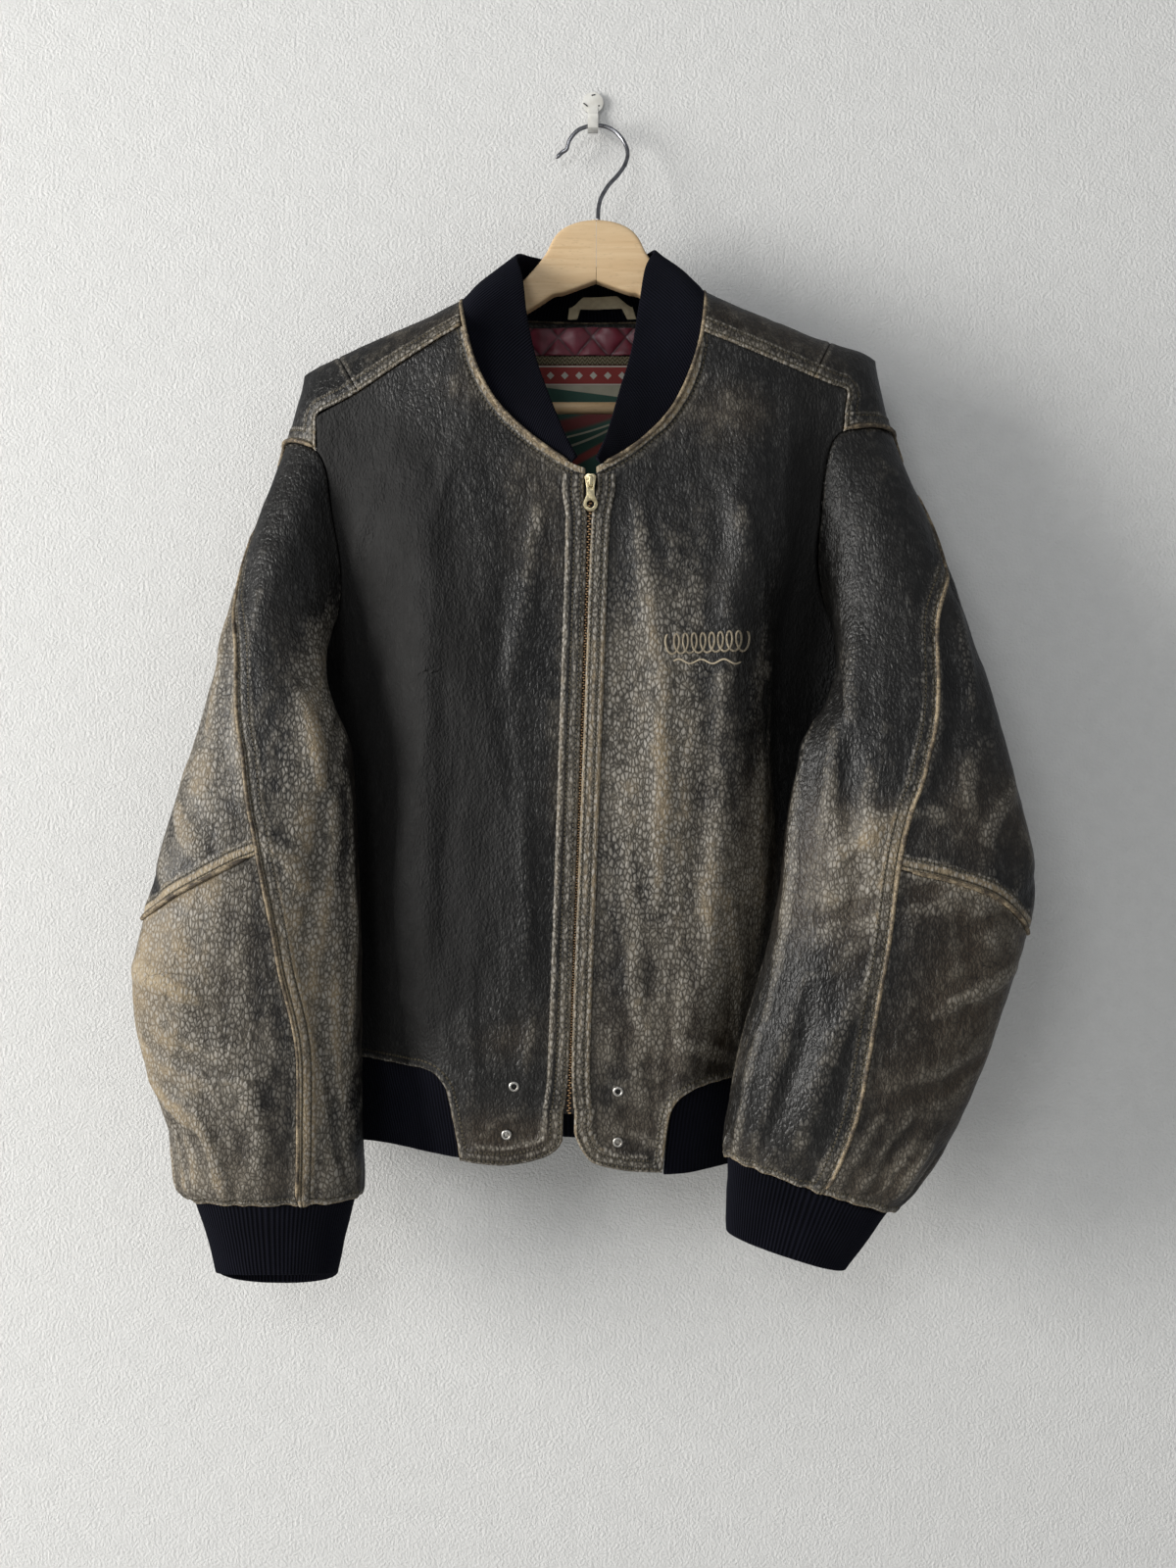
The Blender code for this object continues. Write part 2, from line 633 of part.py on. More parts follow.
def waistband_surface(u, v):
    """u from the left front corner round the back to the right one, v from the hem up."""
    quarter = u * 4
    side = LEFT if quarter < 2 else RIGHT
    share = quarter if side == LEFT else 4 - quarter
    if share < 1:
        start = RIB_START[side]
        across = start + math.sin(share * math.pi / 2) * (1 - start)
        top = front_hem_z(side, across - RIB_CLEAR)
        x = front_place(side, across, top)
        low = WAISTBAND_DROP.at(x / MM, "z") * MM
        z = low + v * (top - low)
        return body_point(front_place(side, across, z), z, 1)
    top = HEM_TOP_BACK * MM
    across = side * math.sin((2 - share) * math.pi / 2)
    low = WAISTBAND_DROP.at(across * 240, "z") * MM
    z = low + v * (top - low)
    return body_point(across * side_x(side, z), z, -1)


# ---- trim that follows the surfaces ----
def strip_surface(side, start, width, top, bottom):
    """A strip beside the zip on the front's face, u outwards, v from top to bottom."""
    def surface(u, v):
        z = (top + v * (bottom - top)) * MM
        x = zip_edge(side, z) + side * (start + u * width)
        return body_point(x, z, 1)
    return surface


def zip_surface(u, v):
    z = (ZIP_TOP + v * (ZIP_BOTTOM - ZIP_TOP)) * MM
    width = ZIP_WIDTH - GAP
    x = ZIP_LINE.at(z / MM, "x") * MM + (u - 0.5) * width
    return body_point(x, z, 1)


def back_patch(left, right, low, high):
    """A patch on the inside of the back, u to the right, v up. Places are in millimetres."""
    def surface(u, v):
        return body_point((left + u * (right - left)) * MM, (low + v * (high - low)) * MM, -1)
    return surface


def loop_surface(u, v):
    """The hanging loop's place on the collar's inner face."""
    place = LOOP_START + u * (LOOP_END - LOOP_START)
    return collar_surface(place / COLLAR_LAST, LOOP_LOW + v * (LOOP_HIGH - LOOP_LOW))


def body_normal(x, z, face):
    """The outward normal of the front (face 1) or the back (face -1)."""
    step = 0.0005
    reach = side_x(side_of(x), z)
    x_low, x_high = max(-reach, x - step), min(reach, x + step)
    z_high = max(z, min(z + step, shoulder_z(side_of(x), x)))
    along_x = body_point(x_high, z, face) - body_point(x_low, z, face)
    along_z = body_point(x, z_high, face) - body_point(x, z - step, face)
    return along_x.cross(along_z).normalized() * face


def facing(surface, face):
    """The normal of a surface that lies on the body's front or back."""
    def normal(u, v):
        point = surface(u, v)
        return body_normal(point.x, point.z, face)
    return normal


def waistband_normal(u, v):
    point = waistband_surface(u, v)
    return body_normal(point.x, point.z, -1 if 0.25 < u < 0.75 else 1)


# ---- mesh making ----
def material(name, colour, roughness, metallic=0.0):
    made = bpy.data.materials.new(name)
    made.use_nodes = True
    shader = made.node_tree.nodes["Principled BSDF"]
    shader.inputs["Base Color"].default_value = (*colour, 1)
    shader.inputs["Roughness"].default_value = roughness
    shader.inputs["Metallic"].default_value = metallic
    return made


def add_object(name, mesh, look):
    mesh.materials.append(look)
    made = bpy.data.objects.new(name, mesh)
    bpy.context.scene.collection.objects.link(made)
    return made


def normal_at(surface, u, v, step=0.004):
    """The outward normal, from two short chords of the surface."""
    u_low, u_high = max(0.0, u - step), min(1.0, u + step)
    v_low, v_high = max(0.0, v - step), min(1.0, v + step)
    along_u = surface(u_high, v) - surface(u_low, v)
    along_v = surface(u, v_high) - surface(u, v_low)
    return along_u.cross(along_v).normalized()


def spread(count):
    """Even shares from 0 to 1."""
    return [index / count for index in range(count + 1)]


def wall(name, surface, u_shares, v_shares, thick, look, edges=(SEAM,) * 4, lift=0.0,
         flip=False, closed=False, normal=None):
    """A closed wall on a surface. edges: distance kept at u = 0, u = 1, v = 0, v = 1.

    The outer face lies lift outside the surface and the inner face thick further in.
    flip turns the faces round where u and v run the other way on the outer side.
    """
    sign = -1 if flip else 1
    if normal is None:
        def normal(u, v):
            return normal_at(surface, u, v) * sign
    rows = []
    for v in v_shares:
        rows.append([(surface(u, v), normal(u, v)) for u in u_shares])
    places = [[point for point, _ in row] for row in rows]

    def draw_in(edge, neighbour, distance):
        span = neighbour - edge
        if span.length > 1e-9:
            return edge + span.normalized() * min(distance, span.length * 0.5)
        return edge

    count_v, count_u = len(v_shares), len(u_shares)
    if not closed:
        for row in places:
            row[0], row[-1] = (draw_in(row[0], row[1], edges[0]),
                               draw_in(row[-1], row[-2], edges[1]))
    for column in range(count_u):
        places[0][column] = draw_in(places[0][column], places[1][column], edges[2])
        places[-1][column] = draw_in(places[-1][column], places[-2][column], edges[3])

    shape = bmesh.new()
    skins = []
    for depth in (lift, lift - thick):
        skins.append([[shape.verts.new(places[j][i] + rows[j][i][1] * depth)
                       for i in range(count_u)] for j in range(count_v)])
    outer, inner = skins
    if closed:
        for skin in skins:
            for row in skin:
                shape.verts.remove(row[-1])
                row[-1] = row[0]
    for j in range(count_v - 1):
        for i in range(count_u - 1):
            for skin, turn in ((outer, 1), (inner, -1)):
                corners = [skin[j][i], skin[j][i + 1], skin[j + 1][i + 1], skin[j + 1][i]]
                shape.faces.new(corners[::turn])
    rims = [([outer[0][i] for i in range(count_u)], [inner[0][i] for i in range(count_u)]),
            ([outer[-1][i] for i in range(count_u)][::-1], [inner[-1][i] for i in range(count_u)][::-1])]
    if not closed:
        rims.append(([outer[j][-1] for j in range(count_v)], [inner[j][-1] for j in range(count_v)]))
        rims.append(([outer[j][0] for j in range(count_v)][::-1],
                     [inner[j][0] for j in range(count_v)][::-1]))
    for near, far in rims:
        for index in range(len(near) - 1):
            shape.faces.new([near[index + 1], near[index], far[index], far[index + 1]])
    bmesh.ops.triangulate(shape, faces=shape.faces[:])
    if flip:
        bmesh.ops.reverse_faces(shape, faces=shape.faces[:])
    mesh = bpy.data.meshes.new(name)
    shape.to_mesh(mesh)
    shape.free()
    mesh.shade_smooth()
    mesh.set_sharp_from_angle(angle=math.radians(50))
    return add_object(name, mesh, look)


def rod(name, points, radius, look, sides=6):
    """A round rod along points."""
    curve = bpy.data.curves.new(name, "CURVE")
    curve.dimensions = "3D"
    curve.bevel_depth = radius
    curve.bevel_resolution = max(0, sides // 2 - 2)
    curve.use_fill_caps = True
    line = curve.splines.new("POLY")
    line.points.add(len(points) - 1)
    for place, point in zip(line.points, points):
        place.co = (*point, 1)
    curve.materials.append(look)
    made = bpy.data.objects.new(name, curve)
    bpy.context.scene.collection.objects.link(made)
    return made


def prism(name, outline, thick, place, look):
    """An outline in X and Z, extruded along Y by thick, its front face at place."""
    shape = bmesh.new()
    corners = [shape.verts.new((x, 0, z)) for x, z in outline]
    face = shape.faces.new(corners)
    grown = bmesh.ops.extrude_face_region(shape, geom=[face])
    moved = [item for item in grown["geom"] if isinstance(item, bmesh.types.BMVert)]
    bmesh.ops.translate(shape, verts=moved, vec=(0, thick, 0))
    bmesh.ops.recalc_face_normals(shape, faces=shape.faces[:])
    mesh = bpy.data.meshes.new(name)
    shape.to_mesh(mesh)
    shape.free()
    made = add_object(name, mesh, look)
    made.location = place
    return made


def disc_outline(radius, sides, centre=(0, 0)):
    return [(centre[0] + radius * math.cos(2 * math.pi * index / sides),
             centre[1] + radius * math.sin(2 * math.pi * index / sides)) for index in range(sides)]


# ---- looks ----
def make_looks():
    return {
        "leather": material("worn_leather", (0.045, 0.038, 0.032), 0.45),
        "edge": material("worn_edge", (0.38, 0.29, 0.18), 0.6),
        "rib": material("navy_rib_knit", (0.012, 0.014, 0.03), 0.95),
        "quilt": material("burgundy_quilting", (0.13, 0.02, 0.045), 0.35),
        "print": material("printed_lining", (0.55, 0.50, 0.40), 0.7),
        "braid": material("woven_braid", (0.25, 0.20, 0.12), 0.85),
        "loop": material("cream_loop", (0.65, 0.55, 0.32), 0.8),
        "brass": material("pale_brass", (0.70, 0.60, 0.38), 0.3, 1.0),
        "nickel": material("old_nickel", (0.55, 0.53, 0.50), 0.35, 1.0),
        "steel": material("hook_steel", (0.30, 0.30, 0.31), 0.3, 1.0),
        "wood": material("pale_beech", (0.70, 0.52, 0.32), 0.5),
        "plastic": material("white_plastic", (0.80, 0.79, 0.75), 0.4)}


# ---- cloth pieces ----
def shares_of(values):
    """Values turned into shares from the first to the last one."""
    return [(value - values[0]) / (values[-1] - values[0]) for value in values]


def front_columns(side):
    """Columns that meet the rib's corner, the end of the neck seam and the arcs between."""
    hem_places = [row["x"] for row in FRONT_HEM[side].rows[4:] if row["x"] < 150]
    neck_places = [row["x"] for row in FRONT_TOP[side].rows[2:-2]]
    columns = [front_share(side, x, HEM_LEVEL[side]) for x in hem_places]
    columns += [front_share(side, x, NECK_LEVEL) for x in neck_places]
    columns += [0, 0.025, 0.06, 0.62, 0.75, 0.88, 1]
    kept = []
    for share in sorted(columns):
        if not kept or share - kept[-1] > 0.0035:
            kept.append(share)
    return kept


def front_rows(side):
    """Rows that meet the sleeve's columns at the armhole."""
    low, top = front_hem_z(side, 1), front_top_z(side, 1)
    heights = [ARMHOLE[side].at(angle, "z") * MM for angle in UNDER_ANGLES
               if ARMHOLE_FRONT <= angle <= ARMPIT]
    rows = [(z - low) / (top - low) for z in sorted(heights)]
    return [0, 0.05, 0.17, 0.32, 0.46] + rows + [1]


def lining_places():
    """Places across the back, in millimetres, where the lining bends with it."""
    return [side * share * YOKE_END[side].at(0, "back_x")
            for side, share in ((LEFT, 0.32), (LEFT, 0.15), (LEFT, 0), (RIGHT, 0.15), (RIGHT, 0.32))]


def back_columns():
    columns = [0.0]
    for side in (LEFT, RIGHT):
        reach = YOKE_END[side].at(0, "back_x")
        edge = YOKE[side].at(0, "top_x")
        places = [0.15, 0.32, (edge - NECK_STEP / MM) / reach, edge / reach, 0.68, 0.84, 0.95, 1]
        columns += [side * share for share in places]
    return [(1 - share) / 2 for share in sorted(columns, reverse=True)]


def back_rows():
    """Rows that meet the sleeves' columns and the left yoke end's."""
    side = LEFT
    low, top = HEM_TOP_BACK, YOKE_END[side].at(0, "back_z")
    angles = [angle for angle in UNDER_ANGLES + UPPER_ANGLES[1::2] if ARMPIT <= angle <= 350]
    heights = [ARMHOLE[side].at(angle, "z") for angle in angles]
    heights += [YOKE_END[side].at(place, "back_z") for place in YOKE_END_COLUMNS]
    return [0, 0.2, 0.4] + [(z - low) / (top - low) for z in sorted(heights)]


def add_body(looks):
    leather = looks["leather"]
    for side in (LEFT, RIGHT):
        name, flip = SIDE_NAMES[side], side == LEFT
        wall("front_" + name, front_surface(side), front_columns(side), front_rows(side), LEATHER,
             leather, edges=(GAP, FOLDED_SEAM, SEAM, SEAM), flip=flip,
             normal=facing(front_surface(side), 1))
        wall("yoke_" + name, yoke_surface(side), spread(4), spread(8), LEATHER, leather,
             edges=(SEAM, SEAM, YOKE_SEAM, YOKE_SEAM), flip=flip)
        wall("yoke_end_" + name, yoke_end_surface(side), YOKE_END_COLUMNS, spread(12), LEATHER, leather,
             edges=(SEAM, FOLDED_SEAM, YOKE_SEAM, YOKE_SEAM), flip=flip)
    wall("back", back_surface, back_columns(), back_rows(), LEATHER, leather,
         edges=(FOLDED_SEAM, FOLDED_SEAM, SEAM, SEAM), normal=facing(back_surface, -1))


def add_sleeves(looks):
    upper_rows, lower_rows = 7, 5
    for side in (LEFT, RIGHT):
        name, flip = SIDE_NAMES[side], side == LEFT
        elbow = elbow_place(side, 1) / 2
        long_rows = [elbow * share for share in spread(upper_rows)]
        long_rows += [elbow + (1 - elbow) * share for share in spread(lower_rows)[1:]]
        outer_columns = shares_of(UPPER_ANGLES)
        pieces = {"under": (shares_of(UNDER_ANGLES), long_rows, UNDERARM_SEAM),
                  "upper": (outer_columns, spread(upper_rows), FOLDED_SEAM),
                  "lower": (outer_columns, spread(lower_rows), SEAM)}
        for kind, (columns, rows, top) in pieces.items():
            wall("sleeve_%s_%s" % (kind, name), sleeve_panel(side, kind), columns, rows, LEATHER,
                 looks["leather"], edges=(SEAM, SEAM, top, SEAM), flip=flip)
        wall("cuff_" + name, cuff_surface(side), spread(16), spread(2), RIB_KNIT, looks["rib"],
             edges=(0, 0, GAP, 0), flip=flip, closed=True)


def neck_places(start):
    """Places along the neck seam, closer together where it goes over a shoulder."""
    ridges = (RIDGE_LEFT, RIDGE_RIGHT)
    places = [half / 2 for half in range(2, 2 * COLLAR_LAST - 1)]
    places = [place for place in places if min(abs(place - ridge) for ridge in ridges) >= 1]
    for ridge in ridges:
        places += [ridge + step * abs(step) / 16 for step in range(-3, 4)]
    return [start] + sorted(places) + [COLLAR_LAST - start]


def add_rib(looks):
    wall("collar", collar_surface, shares_of(neck_places(0)), spread(3), RIB_KNIT, looks["rib"],
         edges=(SEAM, SEAM, COLLAR_SEAM, 0), flip=True)
    wall("waistband", waistband_surface, spread(32), spread(2), RIB_KNIT, looks["rib"],
         edges=(SEAM, SEAM, 0, FOLDED_SEAM), flip=True, normal=waistband_normal)


def add_plackets(looks):
    lift = 2 * GAP + PLACKET_THICK
    for side in (LEFT, RIGHT):
        surface = strip_surface(side, PLACKET_START, PLACKET_WIDTH, PLACKET_TOP, PLACKET_BOTTOM)
        wall("placket_" + SIDE_NAMES[side], surface, spread(1), spread(16), PLACKET_THICK,
             looks["leather"], edges=(0,) * 4, lift=lift, flip=side == RIGHT)


def add_pipings(looks):
    for side in (LEFT, RIGHT):
        name = SIDE_NAMES[side]
        out = PIPING_RADIUS + GAP
        sign = -1 if side == LEFT else 1

        points = []
        for step in range(ARMHOLE_PIPING_STEPS + 1):
            angle = ARMHOLE_PIPING_START + step * ARMHOLE_PIPING_TURN / ARMHOLE_PIPING_STEPS
            base = armhole_point(side, angle)
            near = sleeve_point(side, angle, 0.03) - base
            ahead = armhole_point(side, angle + 2) - armhole_point(side, angle - 2)
            outward = ahead.cross(near).normalized() * sign
            points.append(base + outward * (out + ARMHOLE_PIPING_LIFT))
        rod("armhole_piping_" + name, points, PIPING_RADIUS, looks["edge"])

        points = []
        for step in range(SLEEVE_PIPING_STEPS + 1):
            place = SLEEVE_PIPING_START + step * (1.985 - SLEEVE_PIPING_START) / SLEEVE_PIPING_STEPS
            angle = FRONT_SEAM[side].at(place, "angle")
            points.append(raised(side, angle, place, out + 2 * GAP))
        rod("sleeve_piping_" + name, points, PIPING_RADIUS, looks["edge"])

        points = []
        for step in range(ELBOW_PIPING_STEPS + 1):
            share = step * ELBOW_PIPING_END / ELBOW_PIPING_STEPS
            place = elbow_place(side, share)
            points.append(raised(side, outer_angle(side, share, place), place, out + 2 * GAP))
        rod("elbow_piping_" + name, points, PIPING_RADIUS, looks["edge"])

    points = []
    for place in neck_places(NECK_PIPING_START):
        base = collar_seam(place)
        outward = body_normal(base.x, base.z, collar_face(place))
        points.append(base + outward * (PIPING_RADIUS + NECK_PIPING_LIFT))
    rod("neck_piping", points, PIPING_RADIUS, looks["edge"])


def raised(side, angle, place, height):
    """A point above the sleeve's surface."""
    around = sleeve_point(side, angle + 1, place) - sleeve_point(side, angle - 1, place)
    along = sleeve_point(side, angle, place + 0.01) - sleeve_point(side, angle, place - 0.01)
    outward = around.cross(along).normalized() * (-1 if side == LEFT else 1)
    return sleeve_point(side, angle, place) + outward * height


def add_lining(looks):
    lift = LEATHER + LINING_CLEAR + LINING
    places = lining_places()
    patches = (("lining_quilt", -217.5, -194, "quilt", 3), ("braid", -225, -218, "braid", 1),
               ("lining_panel", -345, -225.5, "print", 4))
    for name, low, high, look, rows in patches:
        wall(name, back_patch(places[0], places[-1], low, high), shares_of(places), spread(rows),
             LINING, looks[look], edges=(0,) * 4, lift=lift)
    wall("loop_label", loop_surface, spread(6), spread(2), LINING, looks["loop"],
         edges=(0,) * 4, lift=-(RIB_KNIT + 3 * GAP), flip=True)


# ---- hard pieces ----
def add_snaps(looks):
    for snap in SNAPS.rows:
        x, z = snap["x"] * MM, snap["z"] * MM
        outward = body_normal(x, z, 1)
        shape = bmesh.new()
        bmesh.ops.create_cone(shape, cap_ends=True, segments=12, radius1=SNAP_RADIUS,
                              radius2=SNAP_RADIUS * 0.8, depth=SNAP_HEIGHT)
        mesh = bpy.data.meshes.new("snap_%d" % snap["index"])
        shape.to_mesh(mesh)
        shape.free()
        made = add_object(mesh.name, mesh, looks["nickel"])
        made.location = body_point(x, z, 1) + outward * (SNAP_HEIGHT / 2 + snap["lift"] * MM)
        made.rotation_euler = outward.to_track_quat("Z", "Y").to_euler()


def add_zip(looks):
    wall("zip_chain", zip_surface, spread(1), spread(18), ZIP_THICK, looks["brass"],
         edges=(0,) * 4, lift=ZIP_LIFT, flip=True)
    z = SLIDER_Z * MM
    x = ZIP_LINE.at(SLIDER_Z, "x") * MM
    face_y = front_y(x, z) - ZIP_LIFT - 2 * GAP - SLIDER_THICK
    hinge = Vector((x, face_y - BRIDGE_ROOM / 2, z))
    half = SLIDER_WIDTH / 2
    outline = [(-half, SLIDER_HEIGHT * 0.35), (-half * 0.62, -SLIDER_HEIGHT * 0.5),
               (half * 0.62, -SLIDER_HEIGHT * 0.5), (half, SLIDER_HEIGHT * 0.35),
               (half * 0.6, SLIDER_HEIGHT * 0.5), (-half * 0.6, SLIDER_HEIGHT * 0.5)]
    slider = prism("zip_slider", outline, SLIDER_THICK, (hinge.x, face_y, hinge.z), looks["brass"])
    strap = bridge_strap("bridge_guide")
    strap.location = (hinge.x, face_y, hinge.z)
    join_with(slider, strap, "UNION")

    body = bpy.data.objects.new("pull_tab_hinge", None)
    bpy.context.scene.collection.objects.link(body)
    body.location = hinge
    half = TAB_WIDTH / 2
    top = BRIDGE_BAR / 2
    outline = [(-half * 0.55, top), (half * 0.55, top), (half * 0.55, -TAB_LENGTH * 0.45)]
    for step in range(9):
        turn = math.pi * (0.12 - step * 1.24 / 8)
        outline.append((half * math.cos(turn), TAB_RING_Z + half * math.sin(turn)))
    outline.append((-half * 0.55, -TAB_LENGTH * 0.45))
    tab = prism("pull_tab", outline, TAB_THICK, (0, -TAB_THICK / 2, 0), looks["brass"])
    window = [(-TAB_WINDOW / 2, -top), (TAB_WINDOW / 2, -top),
              (TAB_WINDOW / 2, -top - TAB_WINDOW_LENGTH), (-TAB_WINDOW / 2, -top - TAB_WINDOW_LENGTH)]
    ring = disc_outline(TAB_HOLE, 14, (0, TAB_RING_Z))
    tab.parent = body
    for name, hole in (("window_guide", window), ("ring_guide", ring)):
        cutter = prism(name, hole, TAB_THICK * 3, (0, -TAB_THICK * 1.5, 0), looks["brass"])
        cutter.parent = body
        join_with(tab, cutter, "DIFFERENCE")


def bridge_strap(name):
    """The slider's bridge, a strap that rises from its face and returns."""
    outer_half, inner_half = BRIDGE_LENGTH / 2, BRIDGE_LENGTH / 2 - BRIDGE_THICK
    inner_rise, outer_rise = BRIDGE_ROOM, BRIDGE_ROOM + BRIDGE_THICK
    sink = SLIDER_THICK / 2
    outline = [(sink, outer_half), (-outer_rise + BRIDGE_THICK, outer_half),
               (-outer_rise, inner_half), (-outer_rise, -inner_half),
               (-outer_rise + BRIDGE_THICK, -outer_half), (sink, -outer_half),
               (sink, -inner_half), (-inner_rise, -inner_half), (-inner_rise, inner_half),
               (sink, inner_half)]
    shape = bmesh.new()
    corners = [shape.verts.new((-BRIDGE_WIDTH / 2, y, z)) for y, z in outline]
    face = shape.faces.new(corners)
    grown = bmesh.ops.extrude_face_region(shape, geom=[face])
    moved = [item for item in grown["geom"] if isinstance(item, bmesh.types.BMVert)]
    bmesh.ops.translate(shape, verts=moved, vec=(BRIDGE_WIDTH, 0, 0))
    bmesh.ops.recalc_face_normals(shape, faces=shape.faces[:])
    mesh = bpy.data.meshes.new(name)
    shape.to_mesh(mesh)
    shape.free()
    made = bpy.data.objects.new(name, mesh)
    bpy.context.scene.collection.objects.link(made)
    return made


def join_with(target, guide, kind):
    guide.hide_render = True
    guide.display_type = "WIRE"
    change = target.modifiers.new(guide.name, "BOOLEAN")
    change.operation = kind
    change.object = guide


def wood_depth(x):
    """The arms curve forward towards their ends."""
    return (-55 - 6 * (x / 0.215) ** 2) * MM


def hanger_surface(side):
    """The front face of an arm, u from the middle outwards, v from the lower edge up."""
    def surface(u, v):
        along = u * (len(HANGER.rows) - 1)
        x = HANGER_MIDDLE * MM + side * (GAP / 2 + HANGER.at(along, "x") * MM)
        top, low = HANGER.at(along, "top") * MM, HANGER.at(along, "low") * MM
        if HANGER.at(along, "x") > HANGER_UNDER:
            top = shoulder_z(side, x) - LEATHER - HANGER_SEAT
        return Vector((x, wood_depth(x) - WOOD_THICK / 2, low + v * (top - low)))
    return surface


def add_hanger(looks):
    for side in (LEFT, RIGHT):
        count = len(HANGER.rows) - 1
        wall("hanger_" + SIDE_NAMES[side], hanger_surface(side), spread(count), spread(1),
             WOOD_THICK, looks["wood"], edges=(0,) * 4, flip=side == LEFT)
    end = BAR_HALF * MM
    depth = wood_depth(end)
    rod("trouser_bar", [Vector((-end + HANGER_MIDDLE * MM, depth, BAR_Z * MM)),
                        Vector((end + HANGER_MIDDLE * MM, depth, BAR_Z * MM))],
        BAR_RADIUS, looks["wood"], sides=12)
    points = []
    last = len(HOOK_WIRE.rows) - 1
    for step in range(HOOK_STEPS + 1):
        place = step * last / HOOK_STEPS
        points.append(Vector([HOOK_WIRE.at(place, name) * MM for name in ("x", "y", "z")]))
    rod("hanger_hook", points, WIRE_RADIUS, looks["steel"], sides=8)


def add_wall_hook(looks):
    disc = prism("wall_hook", disc_outline(DISC_RADIUS, 24), DISC_THICK, (0, -DISC_THICK, 0),
                 looks["plastic"])
    shape = bmesh.new()
    path = [Vector((0, y * MM, z * MM)) for y, z in TONGUE_PATH]
    rings = []
    for index, point in enumerate(path):
        along = (path[min(index + 1, len(path) - 1)] - path[max(index - 1, 0)]).normalized()
        across = Vector((0, -along.z, along.y)) * TONGUE_THICK / 2
        side = Vector((TONGUE_WIDTH / 2, 0, 0))
        rings.append([shape.verts.new(point + corner) for corner in
                      (across + side, across - side, -across - side, -across + side)])
    for near, far in zip(rings, rings[1:]):
        for corner in range(4):
            after = (corner + 1) % 4
            shape.faces.new([near[corner], near[after], far[after], far[corner]])
    shape.faces.new(rings[0])
    shape.faces.new(rings[-1])
    bmesh.ops.recalc_face_normals(shape, faces=shape.faces[:])
    mesh = bpy.data.meshes.new("tongue_guide")
    shape.to_mesh(mesh)
    shape.free()
    tongue = bpy.data.objects.new("tongue_guide", mesh)
    bpy.context.scene.collection.objects.link(tongue)
    join_with(disc, tongue, "UNION")


def main():
    for old in list(bpy.data.objects):
        bpy.data.objects.remove(old, do_unlink=True)
    looks = make_looks()
    add_body(looks)
    add_sleeves(looks)
    add_rib(looks)
    add_plackets(looks)
    add_pipings(looks)
    add_lining(looks)
    add_snaps(looks)
    add_zip(looks)
    add_hanger(looks)
    add_wall_hook(looks)


main()
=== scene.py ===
"""The looks of a worn leather bomber jacket on a wooden hanger and a small wall hook.

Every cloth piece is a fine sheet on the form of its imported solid. The tables of the form
hold millimetres, as the model's source does, and everything made from them is in metres.
"""
import math
from functools import partial

import bmesh
import bpy
import numpy as np
from mathutils import Matrix, Vector, noise


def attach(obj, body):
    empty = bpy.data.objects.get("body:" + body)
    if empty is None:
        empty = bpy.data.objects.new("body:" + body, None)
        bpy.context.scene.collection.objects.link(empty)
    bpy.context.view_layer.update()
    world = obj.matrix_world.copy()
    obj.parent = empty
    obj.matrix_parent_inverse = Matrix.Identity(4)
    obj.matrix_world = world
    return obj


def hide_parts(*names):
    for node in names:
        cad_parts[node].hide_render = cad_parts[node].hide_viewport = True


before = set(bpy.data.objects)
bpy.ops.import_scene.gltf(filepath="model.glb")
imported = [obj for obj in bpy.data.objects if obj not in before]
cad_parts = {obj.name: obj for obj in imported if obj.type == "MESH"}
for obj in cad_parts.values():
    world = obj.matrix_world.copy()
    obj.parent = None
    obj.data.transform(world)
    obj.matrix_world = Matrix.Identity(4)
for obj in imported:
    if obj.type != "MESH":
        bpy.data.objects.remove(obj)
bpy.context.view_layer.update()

MM = 0.001
LEFT, RIGHT = -1, 1
SIDE_NAMES = {LEFT: "left", RIGHT: "right"}
BODY_NAME = "jacket"

LEATHER, PLACKET_LEATHER = 0.0018, 0.0012       # walls of the sheets
RIB_KNIT, LINING = 0.0034, 0.0010
GAP = 0.0003
ZIP_WIDTH = 0.0085
SHOULDER_ROUND = 0.045      # height over which the body closes in under the shoulder line


